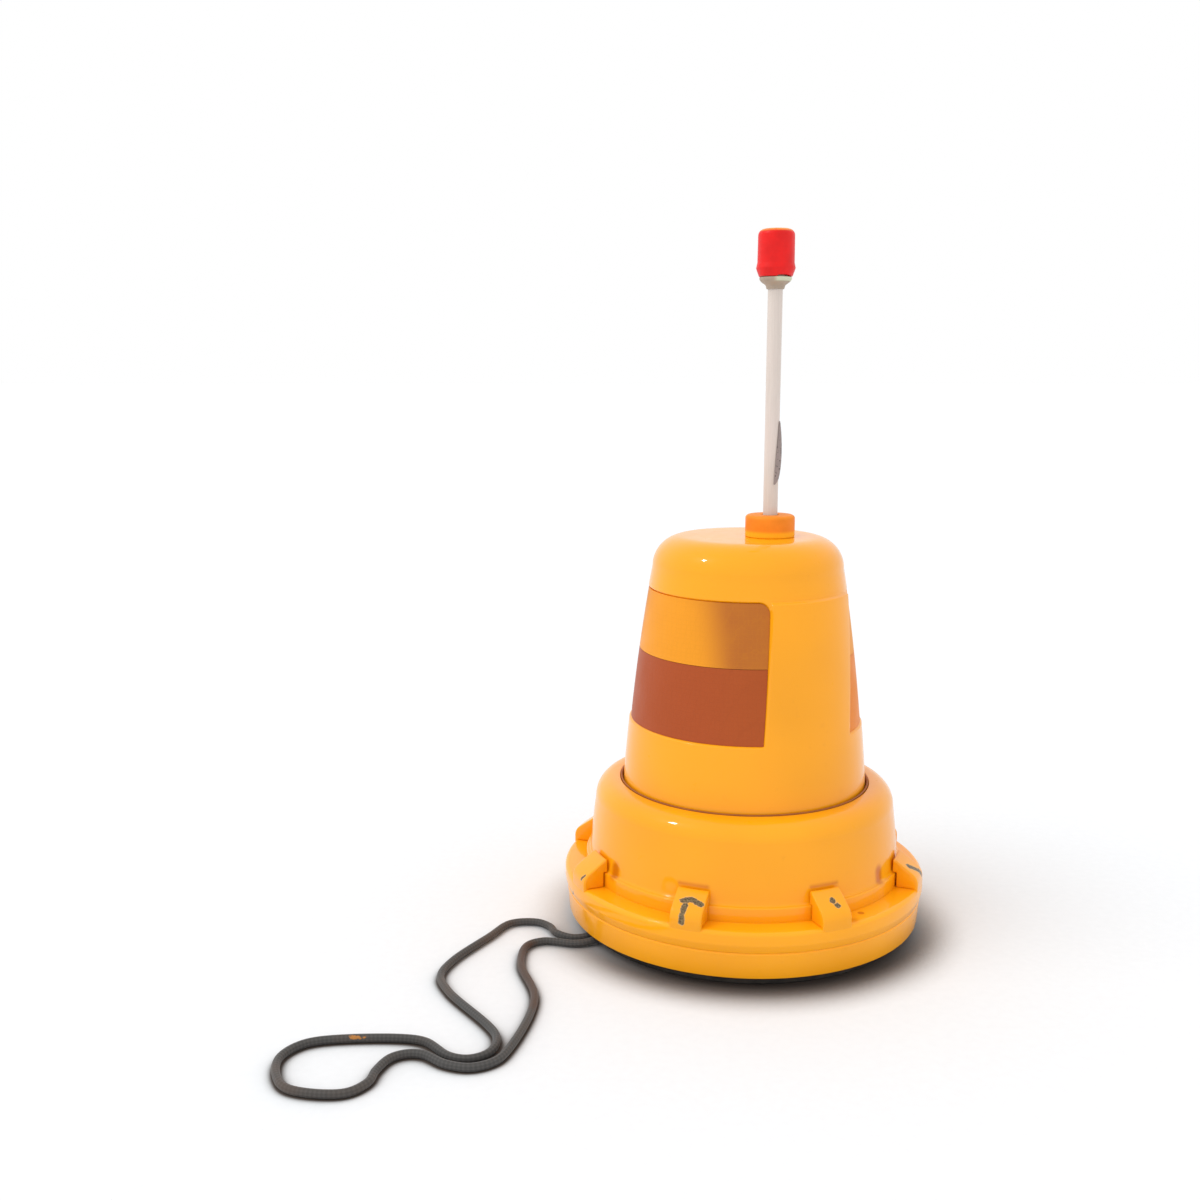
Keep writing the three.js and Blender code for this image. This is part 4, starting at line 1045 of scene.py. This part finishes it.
def cone_levels(cone):
    """Levels up the cone's wall, closest together where a pocket's edge or its round corner is."""
    dome_foot = CONE_TOP - cone.dome
    wall = cone.pocket_wall
    return np.concatenate([
        np.linspace(CONE_FOOT, POCKET_FOOT - 1.5 * MM, 14),
        np.linspace(POCKET_FOOT - MM, POCKET_FOOT + wall + MM, 13),
        np.linspace(POCKET_FOOT + 4 * MM, POCKET_HEAD - cone.pocket_corner - 2 * MM, 22),
        np.linspace(POCKET_HEAD - cone.pocket_corner - MM, POCKET_HEAD + 1.4 * MM, 36),
        np.linspace(POCKET_HEAD + 3 * MM, dome_foot, 6),
    ])


def cone_angles(z, cone):
    """Angles round the cone at each level: four stretches, pillar, pocket, pillar and pocket, whose ends
    follow the pillars' edges, with the columns crowded at each edge."""
    left, right = (edge[:, None] for edge in pillar_edges(z, cone))
    t_pillar = eased(0, 1, 44)[None, :-1]
    near = np.linspace(0, 0.06, 13)[:-1]
    t_pocket = np.concatenate([near, np.linspace(0.06, 0.94, 52)[:-1], 1 - near[::-1]])[None]
    corners = (left, right, np.pi - right, np.pi - left, 2 * np.pi + left)
    steps = (t_pillar, t_pocket, t_pillar, t_pocket)
    return np.concatenate([a + (b - a) * t for a, b, t in zip(corners[:-1], corners[1:], steps)], 1)


def cone_relief(angle, z, cone):
    """How far the cover stands off the plain cone: the pillar's raised pad less the pocket's depth. Both
    follow the distance inside the pocket's outline, whose upper corners are round."""
    radius = cone_radius(z, cone)
    left, right = pillar_edges(z, cone)
    edge = np.where(np.sin(angle) >= 0, right, -left)
    fold = np.abs((angle + np.pi / 2) % np.pi - np.pi / 2)
    across = (fold - edge) * radius
    below, above = z - POCKET_FOOT, POCKET_HEAD - z
    corner = cone.pocket_corner
    inside = np.minimum(np.minimum(across, below), above)
    in_corner = (across < corner) & (above < corner)
    rounded = corner - np.hypot(corner - across, corner - above)
    inside = np.where(in_corner, np.minimum(rounded, inside), inside)
    hollow = pocket_depth(z, cone) * smooth(inside / cone.pocket_wall + 0.45)
    rise = np.clip(below / (POCKET_HEAD - POCKET_FOOT), 0, 1)
    pad = cone.pillar_proud * rise * smooth(-inside / (1.5 * MM)) * smooth(-across / (1.5 * MM))
    pad = pad * smooth(above / (1.8 * MM) + 0.2)
    return pad - hollow


class MARKER_OT_cone(bpy.types.Operator):
    """Adds the cone cover: tapered wall with two pockets and raised pillars, dome, flat top with a hole for
    the mast's socket, and the inside."""
    bl_idname = "marker.cone"
    bl_label = "Cone cover"

    def execute(self, context):
        cone = context.scene.marker_cone
        colours = context.scene.marker_colours
        levels = cone_levels(cone)[:, None]
        angles = cone_angles(levels[:, 0], cone)
        dome_foot = CONE_TOP - cone.dome
        dome_centre = cone_radius(dome_foot, cone) - cone.dome
        wall = polar(angles, cone_radius(levels, cone) + cone_relief(angles, levels, cone), levels, cone)
        last = angles[-1:]
        bend = arc((dome_centre, dome_foot), cone.dome, 6, 90, 18)
        dome = polar(last, bend[:, :1], bend[:, 1:], cone)
        inner_dome = cone.dome - cone.wall
        bend_in = arc((dome_centre, dome_foot), inner_dome, 90, 0, 8)
        inside_top = dome_foot + inner_dome
        mast_x, mast_y = middle("mast_rod")
        ring = polar(last, np.full((1, 1), cone.socket_hole), CONE_TOP, cone) + np.array([mast_x, mast_y, 0])
        share = np.linspace(0, 1, 8)[1:, None, None]
        flat = dome[-1:] * (1 - share) + ring * share
        under = flat[::-1].copy()
        under[..., 2] = inside_top
        inner = polar(last, bend_in[:, :1], bend_in[:, 1:], cone)
        down = np.linspace(dome_foot - 6 * MM, CONE_FOOT, 10)[:, None]
        inner_wall = polar(last, cone_radius(down, cone) - cone.wall, down, cone)
        grid = np.concatenate([wall, dome, flat, under, inner, inner_wall])
        mesh = make_mesh("cone", [(grid, True, True, False)])
        finish = powder_coat("powder_coat_cone", colours)
        add_piece("cone", mesh, finish, "cone", ["cone_cover"], sharp=40)
        return {"FINISHED"}


class MARKER_OT_panels(bpy.types.Operator):
    """Adds the four reflector panels, all amber but for the brown-red one low on the left."""
    bl_idname = "marker.panels"
    bl_label = "Reflector panels"

    def execute(self, context):
        cone = context.scene.marker_cone
        colours = context.scene.marker_colours
        half = cone.pillar_width / 2
        # The amber panels get painted shade, going to dark brown towards the pillar; the brown panel only
        # turns a slightly lighter red-brown there.
        amber = prismatic_sheeting("amber_sheeting", colours.amber, cone.pillar_turn, linear("#B5682A"),
                                   -(half + 33 * MM), -(half + 15 * MM), 1.0)
        brown = prismatic_sheeting("brown_sheeting", colours.brown, cone.pillar_turn, linear("#AE5426"),
                                   -(half + 40 * MM), -half, 0.8)
        deep_amber = prismatic_sheeting("deep_amber_sheeting", colours.deep_amber, cone.pillar_turn)
        lower = (POCKET_LOW, PANEL_SPLIT, 0.4 * MM)
        upper = (PANEL_SPLIT + GAP, PANEL_HIGH, cone.pocket_corner - GAP)
        for height, side, shape, finish, slot in (
                ("lower", "left", lower, brown, "brown_sheet"),
                ("lower", "right", lower, deep_amber, "amber_sheet"),
                ("upper", "left", upper, amber, "amber_sheet"),
                ("upper", "right", upper, amber, "amber_sheet")):
            name = f"{height}_panel_{side}"
            mesh = self.panel(name, cone, side, *shape)
            add_piece(name, mesh, finish, "cone", [f"{height}_reflector_{side}"])
        return {"FINISHED"}

    @staticmethod
    def panel(name, cone, side, foot, head, corner):
        """A bent sheet: each column runs from the foot up to the head, lower inside the round corners by
        corner - sqrt(corner^2 - d^2), and the back lies one thickness nearer the axis."""
        near = eased(0, 0.07, 14)[:-1]
        share = np.concatenate([near, np.linspace(0.07, 0.93, 60), 1 - near[::-1]])[None]
        rise = eased(0, 1, 24)[:, None]
        level = foot + (head - foot) * rise
        left, right = pillar_edges(level, cone)
        start, end = (right, np.pi - right) if side == "right" else (np.pi - left, 2 * np.pi + left)
        radius = cone_radius(level, cone)
        inset = 1.2 * GAP / radius
        angle = start + inset + (end - start - 2 * inset) * share
        width = (end - start) * radius
        away = corner - np.minimum(np.minimum(share, 1 - share) * width, corner)
        drop = corner - np.sqrt(np.maximum(corner**2 - away**2, 0))
        level = foot + (head - drop[-1:] - foot) * rise
        outer = cone_radius(level, cone) - pocket_depth(level, cone) + GAP + cone.panel
        front = polar(angle, outer, level, cone)
        back = polar(angle, outer - cone.panel, level, cone)
        grid = np.concatenate([front, back[::-1]])
        return make_mesh(name, [(grid, True, False, False)] + [
            (np.stack([front[:, i], back[:, i]]), False, False, False) for i in (0, -1)])


# ---------- mast ----------
class MARKER_OT_collar(bpy.types.Operator):
    """Adds the collar round the mast's foot."""
    bl_idname = "marker.collar"
    bl_label = "Collar"

    def execute(self, context):
        radius, foot, top = span("mast_collar")
        foot -= GAP - HAIR
        bore = span("mast_rod")[0] + 2 * GAP
        mast = context.scene.marker_mast
        skirt = radius - mast.collar_wall
        roof = top - mast.collar_roof
        inside = radius - 6 * MM
        outline = filleted([
            (skirt, foot, 0.2 * MM),
            (radius, foot, 0.6 * MM),
            (radius, top, mast.collar_round),
            (bore, top, 0.8 * MM),
            (bore, roof, 0.2 * MM),
            (inside, roof, 0.5 * MM),
            (inside, foot + 4 * MM, 0.5 * MM),
            (skirt, foot + 3 * MM, 0.3 * MM),
        ])
        finish = moulded_polypropylene(context.scene.marker_colours, foot + 2.5 * MM, foot + 5.5 * MM)
        turned_piece("collar", outline, finish, "collar", ["mast_collar"], sides=96,
                     axis=middle("mast_collar"))
        return {"FINISHED"}


class MARKER_OT_mast(bpy.types.Operator):
    """Adds the mast, the curled label on it and the ferrule at its top."""
    bl_idname = "marker.mast"
    bl_label = "Mast, label and ferrule"

    def execute(self, context):
        colours = context.scene.marker_colours
        mast = context.scene.marker_mast
        axis = middle("mast_rod")
        radius, foot, top = span("mast_rod")
        rod = filleted([(0, foot, 0), (radius, foot, 0.8 * MM), (radius, top, 0.5 * MM), (0, top, 0)], 4)
        turned_piece("mast", rod, pultruded_glass_fibre(colours), "mast", ["mast_rod"], sides=64,
                     axis=axis)
        _, low, high = span("mast_label")
        mesh = self.label(radius, low, high, axis, mast)
        add_piece("label", mesh, printed_vinyl(colours), "mast", ["mast_label"])
        rim, foot, neck_top = span("mast_ferrule")
        cap_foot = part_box("mast_cap")[0].z
        shelf = cap_foot - GAP
        neck = rim - mast.ferrule_shelf
        outline = filleted([
            (radius + GAP, foot, 0.1 * MM),
            (radius + 0.9 * MM, foot, 0.3 * MM),
            (radius + 1.6 * MM, foot + 2.5 * MM, 2 * MM),
            (rim - MM, shelf - 3 * MM, 2 * MM),
            (rim, shelf - 1.5 * MM, MM),
            (rim, shelf, 0.3 * MM),
            (neck, shelf, 0.3 * MM),
            (neck, neck_top, 0.8 * MM),
            (radius + GAP, neck_top, 0.2 * MM),
        ])
        turned_piece("ferrule", outline, moulded_acetal(colours, shelf, axis[0]), "mast",
                     ["mast_ferrule"], sides=96, axis=axis)
        return {"FINISHED"}

    @staticmethod
    def label(radius, low, high, axis, mast):
        """A lens-shaped sheet on the mast's right side. Its left edge runs slantwise from the front to the
        side as it goes up, and its middle stands off the mast by a sine arch both ways."""
        share = np.linspace(0, 1, 49)[:, None]
        t = np.linspace(0, 1, 19)[None, :]
        left = np.radians(14 + 40 * share**1.3)
        pinch = np.sin(np.pi * (0.01 + 0.98 * share)) ** 0.8
        right = left + (np.radians(118) - left) * pinch
        angle = left + (right - left) * t
        back = radius + GAP + mast.label_bulge * np.sin(np.pi * share) * np.sin(np.pi * t)
        level = low + (high - low) * share + 0 * t
        shells = [np.stack([axis[0] + r * np.sin(angle), axis[1] - r * np.cos(angle), level], 2)
                  for r in (back + mast.label_sheet, back)]
        grid = np.concatenate([shells[0], shells[1][::-1]])
        return make_mesh("label", [(grid, True, False, False)] + [
            (np.stack([shells[0][:, i], shells[1][:, i]]), False, False, False) for i in (0, -1)])


class MARKER_OT_cap(bpy.types.Operator):
    """Adds the red cap, with its flared skirt and a shallow notch in its lower edge."""
    bl_idname = "marker.cap"
    bl_label = "Cap"

    def execute(self, context):
        mast = context.scene.marker_mast
        widest, foot, top = span("mast_cap")
        radius = widest - mast.cap_flare
        bore = radius - mast.cap_wall
        ceiling = span("mast_ferrule")[2] + GAP
        outline = filleted([
            (0, top - 3 * HAIR, 0),
            (0, ceiling, 0),
            (bore, ceiling, 0.3 * MM),
            (bore, foot, 0.4 * MM),
            (radius - 1.2 * MM, foot, 0.8 * MM),
            (widest, foot + 5.5 * MM, 1.5 * MM),
            (radius, foot + 9 * MM, 3 * MM),
            (radius - 0.2 * MM, top, mast.cap_round),
        ], 10)
        grid = turned(outline, 128, middle("mast_cap"))
        turn = np.linspace(0, 2 * np.pi, 128, endpoint=False)[None]
        notch = np.exp(-((turn - math.radians(24)) / math.radians(38)) ** 2)
        low = 1 - smooth((grid[..., 2] - foot) / (5 * MM))
        grid[..., 2] += mast.cap_lift * notch * low
        mesh = make_mesh("cap", [(grid, True, True, False)])
        finish = dipped_vinyl(context.scene.marker_colours, top)
        add_piece("cap", mesh, finish, "cap", ["mast_cap"])
        return {"FINISHED"}


# ---------- pieces whose CAD shape stays ----------
class MARKER_OT_inner(bpy.types.Operator):
    """Gives every CAD piece that still shows the finish of its own material."""
    bl_idname = "marker.inner"
    bl_label = "Inner pieces"

    def execute(self, context):
        steel, bronze, nylon = zinc_plated_steel(), sintered_bronze(), natural_nylon()
        rubber = dull_moulding("foot_rubber", "#221F1C")
        filled_nylon = dull_moulding("glass_filled_nylon", "#1B1917", roughness=0.5)
        iron = cast_iron()
        kept = {
            "rubber_foot": rubber, "bell_gasket": rubber, "mast_grommet": rubber,
            "tether_cleat": filled_nylon, "mast_socket": filled_nylon, "ballast_weight": iron,
            "thrust_washer": bronze, "hub_bush": bronze, "seat_ring": nylon, "cone_floor": nylon,
        }
        for name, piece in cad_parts.items():
            if piece.hide_render:
                continue
            piece.data.materials.clear()
            piece.data.materials.append(kept.get(name, steel))
        return {"FINISHED"}


# ---------- stage ----------
class MARKER_OT_stage(bpy.types.Operator):
    """Adds the pale floor, the white surround, one broad soft key light that gives no reflection, and a
    small light beside it that gives only the crisp highlights."""
    bl_idname = "marker.stage"
    bl_label = "Stage"

    def execute(self, context):
        stage = context.scene.marker_stage
        half = stage.floor / 2
        mesh = bpy.data.meshes.new("floor")
        corners = [(-half, -half, 0), (half, -half, 0), (half, half, 0), (-half, half, 0)]
        mesh.from_pydata(corners, [], [(0, 1, 2, 3)])
        mesh.materials.append(studio_floor())
        floor = bpy.data.objects.new("floor", mesh)
        context.scene.collection.objects.link(floor)
        world = bpy.data.worlds.new("surround")
        world.use_nodes = True
        background = world.node_tree.nodes["Background"]
        background.inputs["Color"].default_value = (1, 1, 1, 1)
        background.inputs["Strength"].default_value = stage.sky
        context.scene.world = world
        key = bpy.data.lights.new("key", "SUN")
        key.energy = stage.key
        key.angle = stage.key_angle
        sparkle = bpy.data.lights.new("sparkle", "AREA")
        sparkle.energy = stage.sparkle
        sparkle.size = stage.sparkle_size
        for light, place in ((key, (-1.7, -0.5, 2.6)), (sparkle, (-1.51, -0.39, 1.86))):
            lamp = bpy.data.objects.new(light.name, light)
            lamp.location = place
            aim = mathutils.Vector(place) - mathutils.Vector((0, 0, 0.2))
            lamp.rotation_euler = aim.to_track_quat("Z", "Y").to_euler()
            lamp.visible_glossy = light is sparkle
            lamp.visible_diffuse = light is key
            context.scene.collection.objects.link(lamp)
        context.scene.view_settings.view_transform = "Standard"
        return {"FINISHED"}


class MARKER_PT_panel(bpy.types.Panel):
    """Sidebar panel with a button for each group of pieces."""
    bl_label = "Barrier marker"
    bl_idname = "MARKER_PT_panel"
    bl_space_type = "VIEW_3D"
    bl_region_type = "UI"
    bl_category = "Marker"

    def draw(self, context):
        for operator in OPERATORS:
            self.layout.operator(operator.bl_idname)


GROUPS = {
    "marker_ring": RingSizes,
    "marker_bell": BellSizes,
    "marker_lug": LugSizes,
    "marker_cone": ConeSizes,
    "marker_mast": MastSizes,
    "marker_cord": CordSizes,
    "marker_colours": Colours,
    "marker_stage": StageSettings,
}
OPERATORS = (
    MARKER_OT_camera, MARKER_OT_cord, MARKER_OT_ring, MARKER_OT_bell, MARKER_OT_lugs, MARKER_OT_cone,
    MARKER_OT_panels, MARKER_OT_collar, MARKER_OT_mast, MARKER_OT_cap, MARKER_OT_inner, MARKER_OT_stage,
)


def register():
    """Registers the property groups, operators and panel."""
    for name, group in GROUPS.items():
        bpy.utils.register_class(group)
        setattr(bpy.types.Scene, name, PointerProperty(type=group))
    for operator in OPERATORS:
        bpy.utils.register_class(operator)
    bpy.utils.register_class(MARKER_PT_panel)


def unregister():
    """Takes everything out again, last first."""
    bpy.utils.unregister_class(MARKER_PT_panel)
    for operator in reversed(OPERATORS):
        bpy.utils.unregister_class(operator)
    for name, group in reversed(GROUPS.items()):
        delattr(bpy.types.Scene, name)
        bpy.utils.unregister_class(group)


def main():
    """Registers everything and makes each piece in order."""
    register()
    for operator in OPERATORS:
        group, call = operator.bl_idname.split(".")
        getattr(getattr(bpy.ops, group), call)()


if __name__ == "__main__":
    main()
